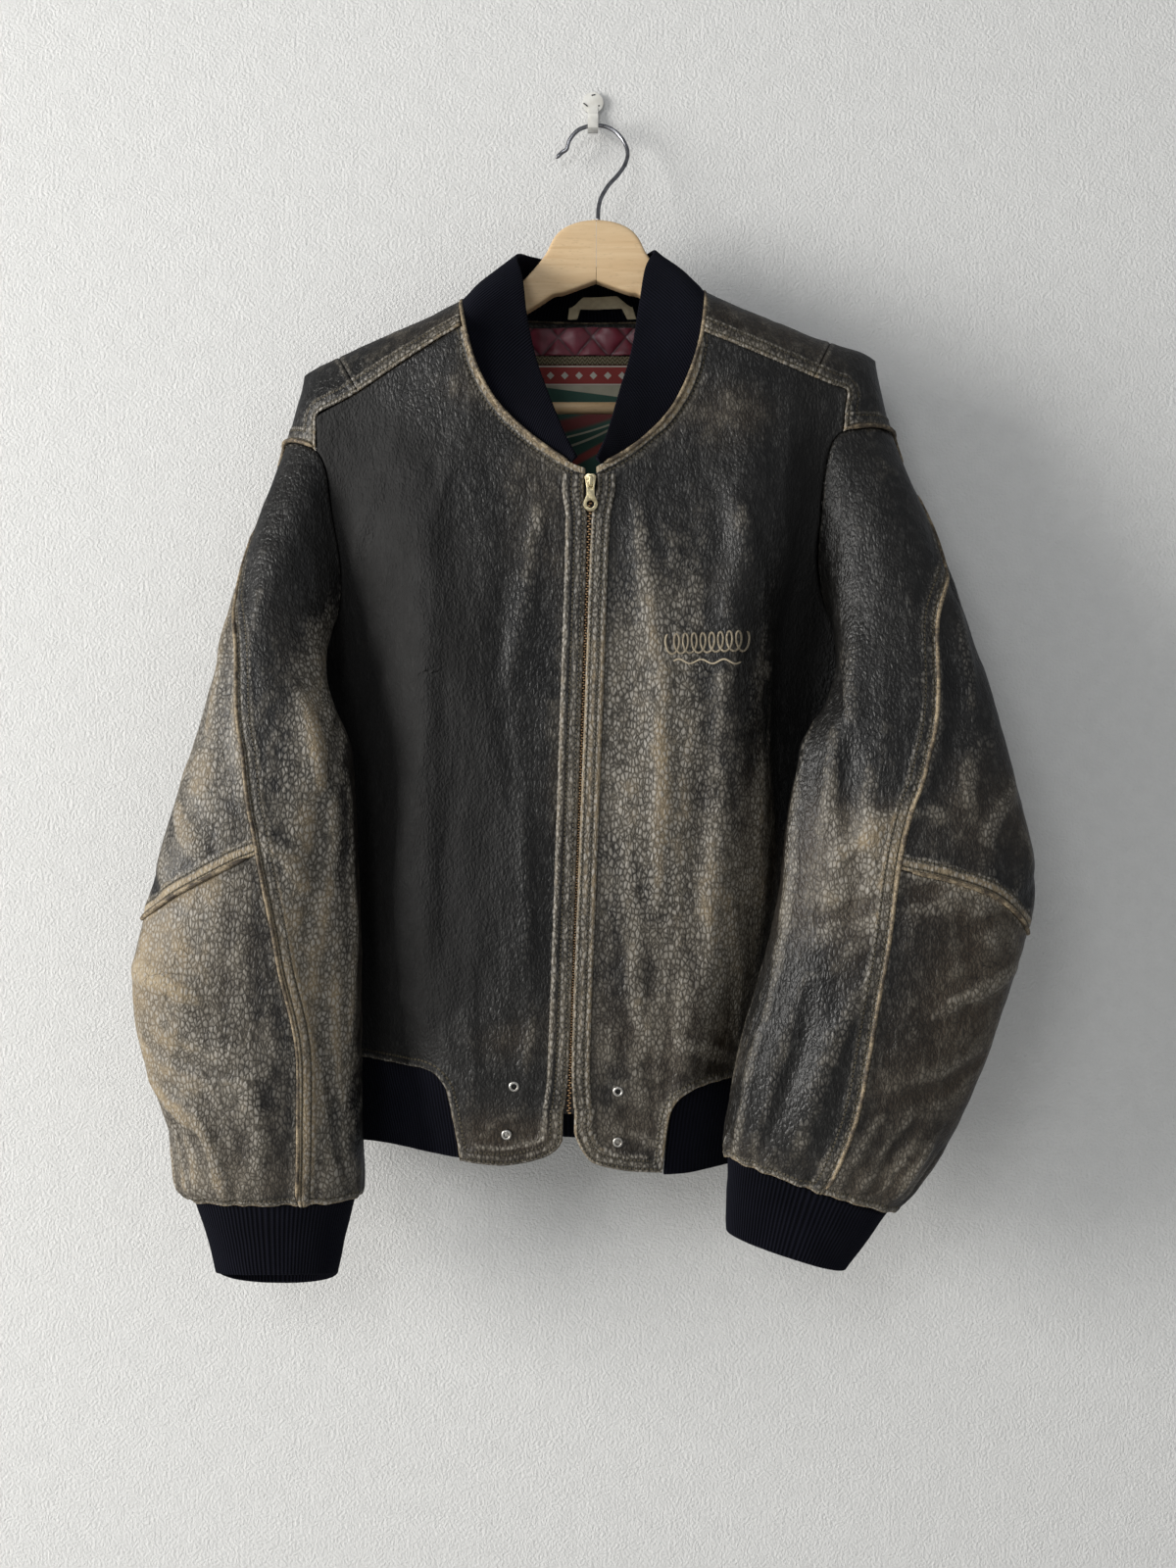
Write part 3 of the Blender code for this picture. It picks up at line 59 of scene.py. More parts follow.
class Table:
    """Rows of named columns, joined by a smooth curve through the rows."""

    def __init__(self, columns, rows, closed=None):
        self.names = columns.split()
        self.closed = closed
        grid = np.array(rows, dtype=float)
        if closed is not None:
            turn = np.zeros(len(self.names))
            turn[0] = closed
            grid = np.vstack([grid[-1] - turn, grid, grid[0] + turn, grid[1] + turn])
        slopes = np.empty_like(grid)
        slopes[1:-1] = (grid[2:] - grid[:-2]) / (grid[2:, :1] - grid[:-2, :1])
        slopes[0] = (grid[1] - grid[0]) / (grid[1, 0] - grid[0, 0])
        slopes[-1] = (grid[-1] - grid[-2]) / (grid[-1, 0] - grid[-2, 0])
        if closed is not None:
            grid, slopes = grid[1:-1], slopes[1:-1]
        self.grid, self.slopes = grid, slopes
        self.first, self.last = grid[0, 0], grid[-1, 0]

    def at(self, key, column):
        """The column's value where the first column has the value key."""
        place = self.names.index(column)
        keys, values, slopes = self.grid[:, 0], self.grid[:, place], self.slopes[:, place]
        key = np.asarray(key, dtype=float)
        if self.closed is not None:
            key = self.first + (key - self.first) % self.closed
        index = np.clip(np.searchsorted(keys, key, side="right") - 1, 0, len(keys) - 2)
        span = keys[index + 1] - keys[index]
        t = np.clip((key - keys[index]) / span, 0, 1)
        rest = 1 - t
        return (values[index] * (1 + 2 * t) * rest ** 2 + slopes[index] * span * t * rest ** 2
                + values[index + 1] * t ** 2 * (3 - 2 * t)
                - slopes[index + 1] * span * t ** 2 * rest)

    def find(self, column, value, falling, rising):
        """The key between two keys where a column that rises from one to the other has a value."""
        low = np.full(np.shape(value), float(falling))
        high = np.full(np.shape(value), float(rising))
        for _ in range(24):
            middle = (low + high) / 2
            over = self.at(middle, column) > value
            high = np.where(over, middle, high)
            low = np.where(over, low, middle)
        return (low + high) / 2


def rows_of(columns, rows):
    return [dict(zip(columns.split(), row)) for row in rows]


def both_sides(columns, left, right, closed=None):
    """A table for each side: the left one's rows, then the right one's."""
    return {LEFT: Table(columns, left, closed), RIGHT: Table(columns, right, closed)}


def numbered(columns, rows):
    """A table of rows that are given in order, by their number from 0."""
    return Table("index " + columns, [(index,) + row for index, row in enumerate(rows)])


# ---- body: depth at each height, outline of each side ----
BODY = Table("z front mid back fall", [
    (-900, -112, -42, -16, 0.62),
    (-860, -118, -38, -14, 0.66),
    (-795, -128, -34, -10, 0.74),
    (-690, -134, -32, -8, 0.76),
    (-560, -134, -34, -8, 0.80),
    (-440, -131, -40, -8, 0.72),
    (-340, -126, -52, -9, 0.40),
    (-270, -120, -60, -10, 0.20),
    (-140, -114, -60, -12, 0.10)])

FALL = both_sides("z start end", [
    (-900, 0.36, 0.80), (-700, 0.42, 0.80), (-140, 0.42, 0.84)], [
    (-900, 0.20, 0.56), (-790, 0.26, 0.60), (-600, 0.34, 0.66), (-450, 0.36, 0.68),
    (-340, 0.42, 0.80), (-140, 0.42, 0.84)])

SIDE_LINE = both_sides("z half", [
    (-900, 232), (-860, 240), (-795, 262), (-700, 280), (-600, 282), (-490, 280),
    (-420, 280), (-371, 274), (-322, 254), (-290, 245), (-245, 234), (-140, 232)], [
    (-900, 228), (-860, 236), (-795, 256), (-700, 274), (-600, 277), (-490, 276),
    (-420, 277), (-372, 271), (-340, 258), (-290, 240), (-235, 228), (-140, 225)])

SHOULDER_LINE = both_sides("x z", [
    (0, -150), (50, -166), (104, -188), (150, -209), (205, -233), (229, -243), (250, -256)], [
    (0, -150), (50, -164), (88, -181), (139, -203), (191, -221), (220, -230), (245, -246)])

# ---- armhole loops: angle is the place round the sleeve, share that of the body's half width ----
ARMHOLE = both_sides("angle share z", [
    (40, 1.0, -304), (60, 0.869, -314), (82, 0.782, -350), (110, 0.722, -400),
    (142, 0.736, -444), (185, 0.829, -474), (245, 1.0, -492), (272, 0.989, -462),
    (300, 0.971, -420), (328, 0.960, -375), (360, 0.984, -335)], [
    (40, 1.0, -296), (60, 0.807, -300), (82, 0.717, -330), (110, 0.647, -390),
    (142, 0.686, -440), (185, 0.804, -474), (245, 1.0, -492), (272, 0.989, -462),
    (300, 0.971, -420), (328, 0.969, -375), (360, 0.984, -330)], closed=360)
ARMHOLE_TOP, ARMHOLE_FRONT, ARMPIT, ARMHOLE_BACK = 40, 60, 245, 360     # angles

# ---- sleeves below the armpit: outer and inner edge, front and back, outer edge lower by drop ----
SLEEVE = both_sides("z outer inner front back drop", [
    (-898, 314, 183, -138, -74, 0),
    (-890, 323, 180, -143, -71, 0),
    (-845, 331, 180, -150, -67, 0),
    (-792, 347, 181, -156, -64, 0),
    (-726, 356, 181, -161, -64, 0),
    (-685, 348, 181, -163, -65, 0),
    (-640, 337, 183, -162, -66, 0),
    (-595, 324, 185, -159, -67, 0),
    (-553, 312, 188, -154, -66, 0)], [
    (-884, 231, 101, -148, -88, 44),
    (-870, 248, 99, -156, -86, 38),
    (-830, 277, 104, -166, -84, 25),
    (-786, 299, 112, -170, -82, 13),
    (-733, 318, 126, -171, -78, 6),
    (-680, 335, 139, -169, -72, 0),
    (-640, 339, 147, -166, -69, 0),
    (-595, 332, 153, -162, -67, 0),
    (-553, 322, 159, -156, -66, 0)])
SLEEVE_SQUARE = 2.3         # roundness of a sleeve's section: 2 is an ellipse
SLEEVE_PUSH = 0.016         # how far the head of the sleeve stands out from the armhole

# ---- seams along the sleeve: the angle of the front seam at each place ----
# place 0 is the armhole, 1 the first full section, 2 the hem
FRONT_SEAM = both_sides("place angle", [
    (0, 5), (0.35, 22), (0.65, 52), (1.0, 80), (1.25, 96), (1.45, 108),
    (1.65, 117), (1.85, 112), (2.0, 108)], [
    (0, 5), (0.35, 30), (0.65, 62), (1.0, 84), (1.25, 97), (1.50, 95),
    (1.75, 90), (2.0, 86)])
BACK_SEAM_ANGLE = -70
# the elbow seam, from the back seam (share 0) to the front seam (share 1)
ELBOW = both_sides("share z", [
    (0, -629), (0.3, -668), (0.48, -680), (0.77, -655), (1, -629)], [
    (0, -640), (0.3, -676), (0.48, -690), (0.78, -658), (1, -640)])

# ---- cuffs: sections from the sleeve's hem down ----
CUFF = both_sides("z outer inner front back drop", [
    (-958, 296, 200, -126, -78, 0),
    (-928, 303, 194, -130, -74, 0),
    (-897, 311.4, 185.6, -135.6, -76.4, 0)], [
    (-936, 196, 103, -140, -92, 30),
    (-910, 212, 103, -143, -88, 38),
    (-884, 227.6, 104.4, -145, -91, 44)])

# ---- neck: the seam on the body and the free edge of the collar, zip to zip round the back ----
COLLAR = Table("place seam_x seam_z edge_x edge_y edge_z", [
    (0, -17, -330, -15, -131, -327),
    (1, -36, -318, -27, -128, -299),
    (2, -56, -302, -38, -121, -269),
    (3, -76, -281, -46, -113, -244),
    (4, -91, -253, -53, -101, -208),
    (5, -100, -221, -57, -86, -175),
    (6, -104, -188, -63, -66, -150),
    (7, -86, -189, -52, -41, -144),
    (8, -46, -189, -28, -31, -147),
    (9, -4, -189, -4, -27, -149),
    (10, 38, -189, 20, -30, -146),
    (11, 74, -188, 42, -40, -143),
    (12, 88, -181, 51, -64, -146),
    (13, 85, -222, 42, -82, -166),
    (14, 76, -256, 36, -98, -205),
    (15, 61, -287, 30, -112, -242),
    (16, 41, -309, 21, -121, -273),
    (17, 22, -323, 13, -128, -303),
    (18, 6, -331, 4, -131, -328)])
COLLAR_LAST = 18
RIDGE_LEFT, RIDGE_RIGHT = 6, 12            # places where the seam crosses the shoulder line
COLLAR_BULGE = 0.06

# ---- fronts: neck curve and yoke seam above, hem and rib below, from the zip outwards ----
FRONT_TOP = both_sides("x z", [
    (0, -336), (17, -330), (36, -318), (56, -302), (76, -281), (91, -253),
    (100, -222), (102, -221), (140, -243), (184, -270), (218, -286)], [
    (-6, -337), (6, -331), (22, -323), (41, -309), (61, -287), (76, -256),
    (82, -226), (84, -226), (120, -240), (172, -259), (200, -268)])
FRONT_HEM = both_sides("x z", [
    (14, -832), (20, -842), (24, -852), (29, -860), (42, -867), (68, -872), (90, -870.5),
    (102.6, -868.6), (104.2, -867.4), (105.2, -856), (106, -835), (108, -812),
    (116, -800), (130, -797), (285, -797)], [
    (-21, -828), (-14, -850), (-8, -862), (0, -870), (24, -876), (42, -877.4),
    (52.4, -877.4), (53.6, -876.2), (54.4, -866), (55, -836), (61, -820), (74, -812),
    (100, -809), (140, -807), (190, -801), (250, -797), (285, -797)])
HEM_LEVEL, NECK_LEVEL = {LEFT: -862, RIGHT: -872}, -300     # where the rows' x is measured
HEM_MEAN = -0.815           # a front's rows run level above this, and bend to the hem's shape below
HEM_FADE = 9                # how soon above the hem they run level
RIB_START = {LEFT: 0.386, RIGHT: 0.338}   # share of the front where the rib begins
RIB_TUCK = 0.05             # share of the front by which the rib goes on under the leather
RIB_TUCK_UP = 0.007
RIB_SINK = 0.0036
WAIST_HALF = 240
WAISTBAND_DROP = Table("x z", [(-240, -862), (-107, -867), (0, -872), (56, -879), (120, -880),
                               (240, -868)])
ZIP_LINE = Table("z x", [(-870, -20), (-833, -19), (-768, -17), (-560, -9.5), (-338, -2)])
ZIP_TOP, ZIP_BOTTOM = -338, -831
PLACKET_TOP, PLACKET_BOTTOM = -338.5, -826
PLACKET_WIDTH = {LEFT: 0.0165, RIGHT: 0.0145}
PLACKET_LIFT = 0.0016
PLACKET_START = Table("z out", [(-826, -0.8), (-800, -3.1), (-700, -3.5), (-500, -3.1), (-372, -2.4),
                                (-352, 0.8), (-338, 0.8)])
FACED_END = {LEFT: 0.1035, RIGHT: 0.0535}   # how far from the middle the hem meets the rib
LOOP_START, LOOP_END = 8.58, 9.98          # places on the collar
LOOP_LOW, LOOP_HIGH = 0.04, 0.50
LOOP_GAP, LOOP_EAR = 0.21, 0.27            # the gap below the loop, and how high its ends stand
HEM_TOP_BACK = -797
BACK_NECK_Z = -190
NECK_STEP = 0.007           # how near to the back's step down beside the neck columns are drawn
NECK_SLOPE = 0.08           # width of the same step where the rows are far below it
NECK_FADE = 14              # how soon below the top the steep step gives way to the wide one
BACK_SEAM_DROP = 30         # how far the yoke's back seam lies below the shoulder line

# ---- yokes: the front seam and the shoulder line, from the neck to the cross seam ----
YOKE = both_sides("place front_x top_x", [
    (0, 103, 105), (0.5, 142, 155), (1, 184, 205)], [
    (0, 85, 89), (0.5, 128, 140), (1, 172, 191)])
# ---- yoke ends: from the cross seam down to the armhole; drop is below the front's top edge ----
YOKE_END = both_sides("place front_x front_drop back_x back_z", [
    (0, 184, 0, 205, -263), (0.3, 203, 0, 214, -273), (0.5, 217, 0, 221, -284),
    (0.75, 218.4, 13, 234, -306), (1, 218.6, 28, 254, -335)], [
    (0, 172, 0, 191, -251), (0.3, 189, 0, 203, -262), (0.5, 199, 0, 211, -274),
    (0.75, 198, 14, 226, -298), (1, 196.5, 32, 250, -330)])
YOKE_END_CORNER = 0.5       # where the end's front edge turns down, and its top rail too

# ---- large drape folds of the fronts: a ridge from top to bottom ----
FOLDS = rows_of("top_x top_z low_x low_z width height", [
    (-150, -262, -118, -520, 26, 5.0),
    (-92, -300, -84, -640, 24, 3.5),
    (-52, -420, -64, -800, 22, 3.0),
    (128, -262, 92, -560, 26, 5.0),
    (58, -330, 46, -700, 24, 3.5),
    (150, -420, 118, -800, 20, 5.0)])

# ---- hanger and wall hook ----
HANGER_MIDDLE = 2.5
HANGER = numbered("x top low", [
    (0, -119, -169), (14, -121, -174.2), (26, -126, -178.4), (34, -134, -180), (42, -149, -185),
    (58, -168, -195), (80, -189, -208), (101, -198, -218), (140, -209, -232), (176, -226, -249),
    (178, -227, -284), (198, -240, -287), (207, -250, -276)])
HANGER_UNDER = 100          # beyond this the arms' top edge lies under the shoulders
HANGER_SEAT = 0.0026
BAR_HALF, BAR_Z = 176.7, -272
HOOK_WIRE = numbered("x y z", [
    (-31, -12, -51), (-26, -12, -46), (-22, -13, -43.5), (-19.6, -14, -36.5), (-13, -15, -29),
    (-5, -15, -25.5), (3, -15, -24.5), (12, -15, -26), (20, -15.5, -31), (26, -17, -39),
    (29, -20, -49), (27, -24, -60), (21, -29, -71), (13, -35, -82), (7, -41, -94),
    (4.5, -49, -106), (4, -54, -118.4)])


# ---- the form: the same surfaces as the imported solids, worked out on whole grids ----
def smooth_step(value):
    t = np.clip(value, 0, 1)
    return t * t * (3 - 2 * t)


def bell(distance, width):
    return np.exp(-(distance / width) ** 2)


def by_side(x, rule):
    """A rule of the side, used for the points that lie on each side."""
    return np.where(x < 0, rule(LEFT), rule(RIGHT))


def point(x, y, z):
    return np.stack(np.broadcast_arrays(x, y, z), axis=-1)


def unit(vectors):
    length = np.linalg.norm(vectors, axis=-1, keepdims=True)
    return vectors / np.maximum(length, 1e-12)


def shoulder_z(side, x):
    return SHOULDER_LINE[side].at(np.abs(x) / MM, "z") * MM


def side_x(side, z):
    return SIDE_LINE[side].at(z / MM, "half") * MM


def fold_height(x, z):
    total = np.zeros(np.shape(x))
    for fold in FOLDS:
        along = (fold["top_z"] * MM - z) / ((fold["top_z"] - fold["low_z"]) * MM)
        middle = (fold["top_x"] + along * (fold["low_x"] - fold["top_x"])) * MM
        rise = fold["height"] * MM * np.sin(math.pi * np.clip(along, 0, 1))
        total += rise * bell(x - middle, fold["width"] * MM)
    return total


def crown(x, z):
    """Share of the body's full depth that is left near the shoulder line."""
    depth = by_side(x, lambda side: shoulder_z(side, x)) - z
    return np.sqrt(1 - (1 - np.clip(depth / SHOULDER_ROUND, 0, 1)) ** 2)


def front_y(x, z):
    row = z / MM
    share = np.minimum(1, np.abs(x) / by_side(x, lambda side: side_x(side, z)))
    start = by_side(x, lambda side: FALL[side].at(row, "start"))
    end = by_side(x, lambda side: FALL[side].at(row, "end"))
    fall = BODY.at(row, "fall") * smooth_step((share - start) / (end - start))
    middle = BODY.at(row, "mid") * MM
    depth = BODY.at(row, "front") * MM - middle
    edge = np.sqrt(np.maximum(0, 1 - share ** 8))
    return middle + depth * (1 - fall) * edge * crown(x, z) - fold_height(x, z) * edge


def back_y(x, z):
    row = z / MM
    share = np.minimum(1, np.abs(x) / by_side(x, lambda side: side_x(side, z)))
    middle = BODY.at(row, "mid") * MM
    depth = BODY.at(row, "back") * MM - middle
    edge = np.sqrt(np.maximum(0, 1 - share ** 6))
    return middle + depth * edge * crown(x, z)


def body_point(x, z, face):
    """Points of the body: face 1 is the front, -1 the back, 0 the shoulder line between."""
    x, z, face = np.broadcast_arrays(x, z, face)
    rim = BODY.at(z / MM, "mid") * MM
    y = np.where(face > 0, front_y(x, z), np.where(face < 0, back_y(x, z), rim))
    return point(x, y, z)


def zip_edge(side, z):
    return ZIP_LINE.at(z / MM, "x") * MM + side * ZIP_WIDTH / 2


def reach(side, z, seam_end, at_end):
    """Half the width at a height: to the side seam, the armhole, and at_end beyond its seam_end."""
    row, armhole = z / MM, ARMHOLE[side]
    angle = armhole.find("z", row, ARMPIT, seam_end)
    at_armhole = armhole.at(angle, "share") * side_x(side, z)
    return np.where(row <= armhole.at(ARMPIT, "z"), side_x(side, z),
                    np.where(row <= armhole.at(seam_end, "z"), at_armhole, at_end))


def front_reach(side, z):
    end = YOKE_END[side]
    place = end.find("front_drop", FRONT_TOP[side].grid[-1, 1] - z / MM, YOKE_END_CORNER, 1)
    return reach(side, z, ARMHOLE_FRONT, end.at(place, "front_x") * MM)


def back_reach(side, z):
    end = YOKE_END[side]
    return reach(side, z, ARMHOLE_BACK, end.at(end.find("back_z", z / MM, 1, 0), "back_x") * MM)


def front_place(side, u, z):
    inner = zip_edge(side, z)
    return inner + u * (side * front_reach(side, z) - inner)


def front_hem_z(side, u):
    x = front_place(side, u, HEM_LEVEL[side] * MM)
    return FRONT_HEM[side].at(side * x / MM, "z") * MM


def front_top_z(side, u):
    x = front_place(side, u, NECK_LEVEL * MM)
    return FRONT_TOP[side].at(side * x / MM, "z") * MM


def front_surface(side):
    """u from the zip to the armhole or side seam, v from the hem to the neck or yoke."""
    def surface(u, v):
        low, top, rest = front_hem_z(side, u), front_top_z(side, u), 1 - v
        z = top + rest * (HEM_MEAN - top) + (low - HEM_MEAN) * rest ** HEM_FADE
        return body_point(front_place(side, u, z), z, 1)
    return surface


def back_surface(u, v):
    """u from the right edge to the left one, so that the outer face looks at the wall."""
    across = 1 - 2 * u

    def rule(side):
        edge = YOKE_END[side].at(0, "back_x") * MM
        neck_edge = YOKE[side].at(0, "top_x") * MM
        beyond = np.abs(across) * edge - neck_edge
        # near the top, columns are drawn to the neck's corner, so that the step there is steep
        close = np.minimum(np.abs(beyond) / NECK_STEP, 1)
        drawn = across + np.sign(across) * beyond * (close - 1) / edge * v ** NECK_FADE
        seam = shoulder_z(side, drawn * edge) - BACK_SEAM_DROP * MM
        soft = smooth_step(beyond / NECK_SLOPE + 0.5)
        step = np.where(beyond > 0, 1, 0)
        share = soft + (step - soft) * v ** NECK_FADE
        top = BACK_NECK_Z * MM + (seam - BACK_NECK_Z * MM) * share
        z = HEM_TOP_BACK * MM + v * (top - HEM_TOP_BACK * MM)
        return drawn * back_reach(side, z), z
    (x_left, z_left), (x_right, z_right) = rule(LEFT), rule(RIGHT)
    return body_point(np.where(across < 0, x_left, x_right),
                      np.where(across < 0, z_left, z_right), -1)


def over_shoulder(front, top, back, w):
    far_x, far_z = (np.where(w < 0, front[part], back[part]) for part in (0, 1))
    x = top[0] + (far_x - top[0]) * w * w
    z = top[1] + (far_z - top[1]) * w * w
    return x, z, np.where(np.abs(w) < 1e-6, 0, np.sign(-w))


def yoke_surface(side):
    """u from the neck to the cross seam, v from the front seam over the shoulder to the back."""
    def surface(u, v):
        top_x = side * YOKE[side].at(u, "top_x") * MM
        top = (top_x, shoulder_z(side, top_x))
        front_x = YOKE[side].at(u, "front_x")
        front = (side * front_x * MM, FRONT_TOP[side].at(front_x, "z") * MM)
        back = (top_x, top[1] - BACK_SEAM_DROP * MM)
        return body_point(*over_shoulder(front, top, back, 2 * v - 1))
    return surface


def yoke_end_rail(side, place):
    """The end's middle line, on the outline: along the shoulder, then down to the armhole."""
    corner_x = 0.23
    for _ in range(12):
        corner_x = side_x(side, shoulder_z(side, corner_x))
    start_x = YOKE[side].at(1, "top_x") * MM
    corner_z = shoulder_z(side, corner_x)
    x = start_x + (corner_x - start_x) * place / YOKE_END_CORNER
    share = (place - YOKE_END_CORNER) / (1 - YOKE_END_CORNER)
    z = corner_z + (ARMHOLE[side].at(ARMHOLE_TOP, "z") * MM - corner_z) * share
    inner = place < YOKE_END_CORNER
    return (np.where(inner, side * x, side * side_x(side, z)),
            np.where(inner, shoulder_z(side, x), z))


def yoke_end_surface(side):
    """u from the cross seam to the armhole, v from the front edge over the top to the back."""
    table = YOKE_END[side]

    def flat_place(place, w):
        front_x = table.at(place, "front_x")
        front_z = FRONT_TOP[side].at(front_x, "z") - table.at(place, "front_drop")
        front = (side * front_x * MM, front_z * MM)
        back = (side * table.at(place, "back_x") * MM, table.at(place, "back_z") * MM)
        return over_shoulder(front, yoke_end_rail(side, place), back, w)[:2]

    def surface(u, v):
        w = 2 * v - 1
        turn = np.where(w < 0, ARMHOLE_FRONT - ARMHOLE_TOP, -ARMHOLE_TOP) * w * w
        goal = armhole_point(side, ARMHOLE_TOP + turn)
        end_x, end_z = flat_place(np.ones_like(u), w)
        x, z = flat_place(u, w)
        x = x + (goal[..., 0] - end_x) * u * u
        z = z + (goal[..., 2] - end_z) * u * u
        return body_point(x, z, np.where(np.abs(w) < 1e-6, 0, np.sign(-w)))
    return surface


def ring_point(table, side, row, angle):
    turn = np.radians(angle)
    outer, inner, front, back = (table.at(row, name) * MM for name in table.names[1:5])
    power = 2 / SLEEVE_SQUARE
    cosine = np.sign(np.cos(turn)) * np.abs(np.cos(turn)) ** power
    sine = np.sign(np.sin(turn)) * np.abs(np.sin(turn)) ** power
    x = (outer + inner) / 2 + (outer - inner) / 2 * cosine
    y = (front + back) / 2 + (front - back) / 2 * sine
    z = row * MM - table.at(row, "drop") * MM * cosine / 2
    return point(side * x, y, z)


def armhole_point(side, angle):
    table = ARMHOLE[side]
    wrapped = table.first + (angle - table.first) % table.closed
    z = table.at(angle, "z") * MM
    share = np.minimum(1, table.at(angle, "share"))
    return body_point(side * share * side_x(side, z), z, np.where(wrapped <= ARMPIT, 1, -1))


def sleeve_point(side, angle, place):
    """place 0 is the armhole, 1 the first full section, 2 the hem."""
    table = SLEEVE[side]
    first, last = table.last, table.first
    angle, place = np.broadcast_arrays(np.asarray(angle, float), np.asarray(place, float))
    row = first + (place - 1) * (last - first)
    low_part = ring_point(table, side, np.minimum(row, first), angle)
    start = armhole_point(side, angle)
    end = ring_point(table, side, first, angle)
    below = ring_point(table, side, first - 12, angle)
    run = np.linalg.norm(end - start, axis=-1, keepdims=True)
    one = start + (end - start) * 0.30 + np.array((side * 0.72, -0.60, -0.35)) * SLEEVE_PUSH
    two = end - unit(below - end) * run * 0.30
    t = place[..., None]
    rest = 1 - t
    head = start * rest ** 3 + one * 3 * t * rest ** 2 + two * 3 * t ** 2 * rest + end * t ** 3
    return np.where(t >= 1, low_part, head)


def elbow_place(side, share):
    table = SLEEVE[side]
    return 1 + (ELBOW[side].at(share, "z") - table.last) / (table.first - table.last)


def outer_angle(side, share, place):
    return BACK_SEAM_ANGLE + share * (FRONT_SEAM[side].at(place, "angle") - BACK_SEAM_ANGLE)


def sleeve_places(side, kind, u, v):
    """The angle and place of a sleeve panel's point. kind: upper, lower or under."""
    if kind == "under":
        seam = FRONT_SEAM[side].at(v * 2, "angle")
        return seam + u * (360 + BACK_SEAM_ANGLE - seam), v * 2
    elbow = elbow_place(side, u)
    place = v * elbow if kind == "upper" else elbow + v * (2 - elbow)
    return outer_angle(side, u, place), place


def sleeve_panel(side, kind):
    def surface(u, v):
        return sleeve_point(side, *sleeve_places(side, kind, u, v))
    return surface


def cuff_surface(side):
    table = CUFF[side]

    def surface(u, v):
        row = table.last + v * (table.first - table.last)
        return ring_point(table, side, row, u * 360)
    return surface


def collar_face(place):
    return np.where((place > RIDGE_LEFT) & (place < RIDGE_RIGHT), -1, 1)


def collar_seam(place):
    x, z = COLLAR.at(place, "seam_x") * MM, COLLAR.at(place, "seam_z") * MM
    return body_point(x, z, collar_face(place))


def collar_surface(u, v):
    """u from the left zip end round the neck to the right one, v from the seam to the edge."""
    place = u * COLLAR_LAST
    seam = collar_seam(place)
    edge = point(*(COLLAR.at(place, name) * MM for name in ("edge_x", "edge_y", "edge_z")))
    across = edge - seam
    length = np.linalg.norm(across, axis=-1)
    out = seam - np.array((0, -0.07, 0))
    out[..., 2] = 0
    stand = np.sin(math.pi * v) * COLLAR_BULGE * length
    return seam + across * v[..., None] + unit(out) * stand[..., None]


def waistband_surface(u, v):
    """u from the left front corner round the back to the right one, v from the hem up."""
    quarter = u * 4

    def rule(side):
        share = quarter if side == LEFT else 4 - quarter
        start = RIB_START[side] - RIB_TUCK
        around = np.sin(np.clip(share, 0, 1) * math.pi / 2)
        across = start + around * (1 - start)
        beside = smooth_step((1 - around) / 0.3)
        top = front_hem_z(side, np.maximum(across, RIB_START[side] + 0.03)) + RIB_TUCK_UP * beside
        low = WAISTBAND_DROP.at(front_place(side, across, top) / MM, "z") * MM
        z = low + v * (top - low)
        front = body_point(front_place(side, across, z), z, 1)
        front[..., 1] += RIB_SINK * beside
        swing = side * np.sin((2 - np.clip(share, 1, 2)) * math.pi / 2)
        low = WAISTBAND_DROP.at(swing * WAIST_HALF, "z") * MM
        z = low + v * (HEM_TOP_BACK * MM - low)
        back = body_point(swing * side_x(side, z), z, -1)
        return np.where((share < 1)[..., None], front, back)
    return np.where((quarter < 2)[..., None], rule(LEFT), rule(RIGHT))


def back_patch(left, right, low, high):
    """A patch of the back's outer face, u to the right, v up. Places are in millimetres."""
    def surface(u, v):
        return body_point((left + u * (right - left)) * MM, (low + v * (high - low)) * MM, -1)
    return surface


# ---- panels: a fine grid on a surface, raised and lowered, with a wall behind it ----
# distances in millimetres from a sewn edge at which a fine grid has its lines
FINE_LINES = (0, 0.5, 1.1, 1.9, 2.9, 4.0, 5.3, 6.8, 8.3, 9.5, 10.6, 11.8, 13.2, 15.2)
PLAIN_LINES = (0, 0.6, 1.4, 2.6, 4.4)
STITCH_ROWS = (0.003, 0.0095)
NO_STITCH = 1.0


def spacing(length, step, lines):
    """Shares along a length in metres: close together near both ends, a step apart between."""
    near = np.array(lines) * MM
    near = near[near < length * 0.4]
    middle = np.linspace(near[-1], length - near[-1],
                         max(3, math.ceil((length - 2 * near[-1]) / step) + 1))
    return np.concatenate([near[:-1], middle, length - near[:-1][::-1]]) / length


def share_grid(columns, rows):
    return np.meshgrid(np.linspace(0, 1, columns), np.linspace(0, 1, rows))


def arc_lengths(places, axis):
    """Distance along a grid's lines, from their first point."""
    steps = np.linalg.norm(np.diff(places, axis=axis), axis=-1)
    total = np.cumsum(steps, axis=axis)
    first = np.zeros_like(np.take(total, [0], axis=axis))
    return np.concatenate([first, total], axis=axis)


def mean_sizes(surface, columns, rows):
    """How long a surface is along u and along v, measured on a coarse grid."""
    rough = surface(*share_grid(columns, rows))
    return float(arc_lengths(rough, 1)[:, -1].mean()), float(arc_lengths(rough, 0)[-1].mean())


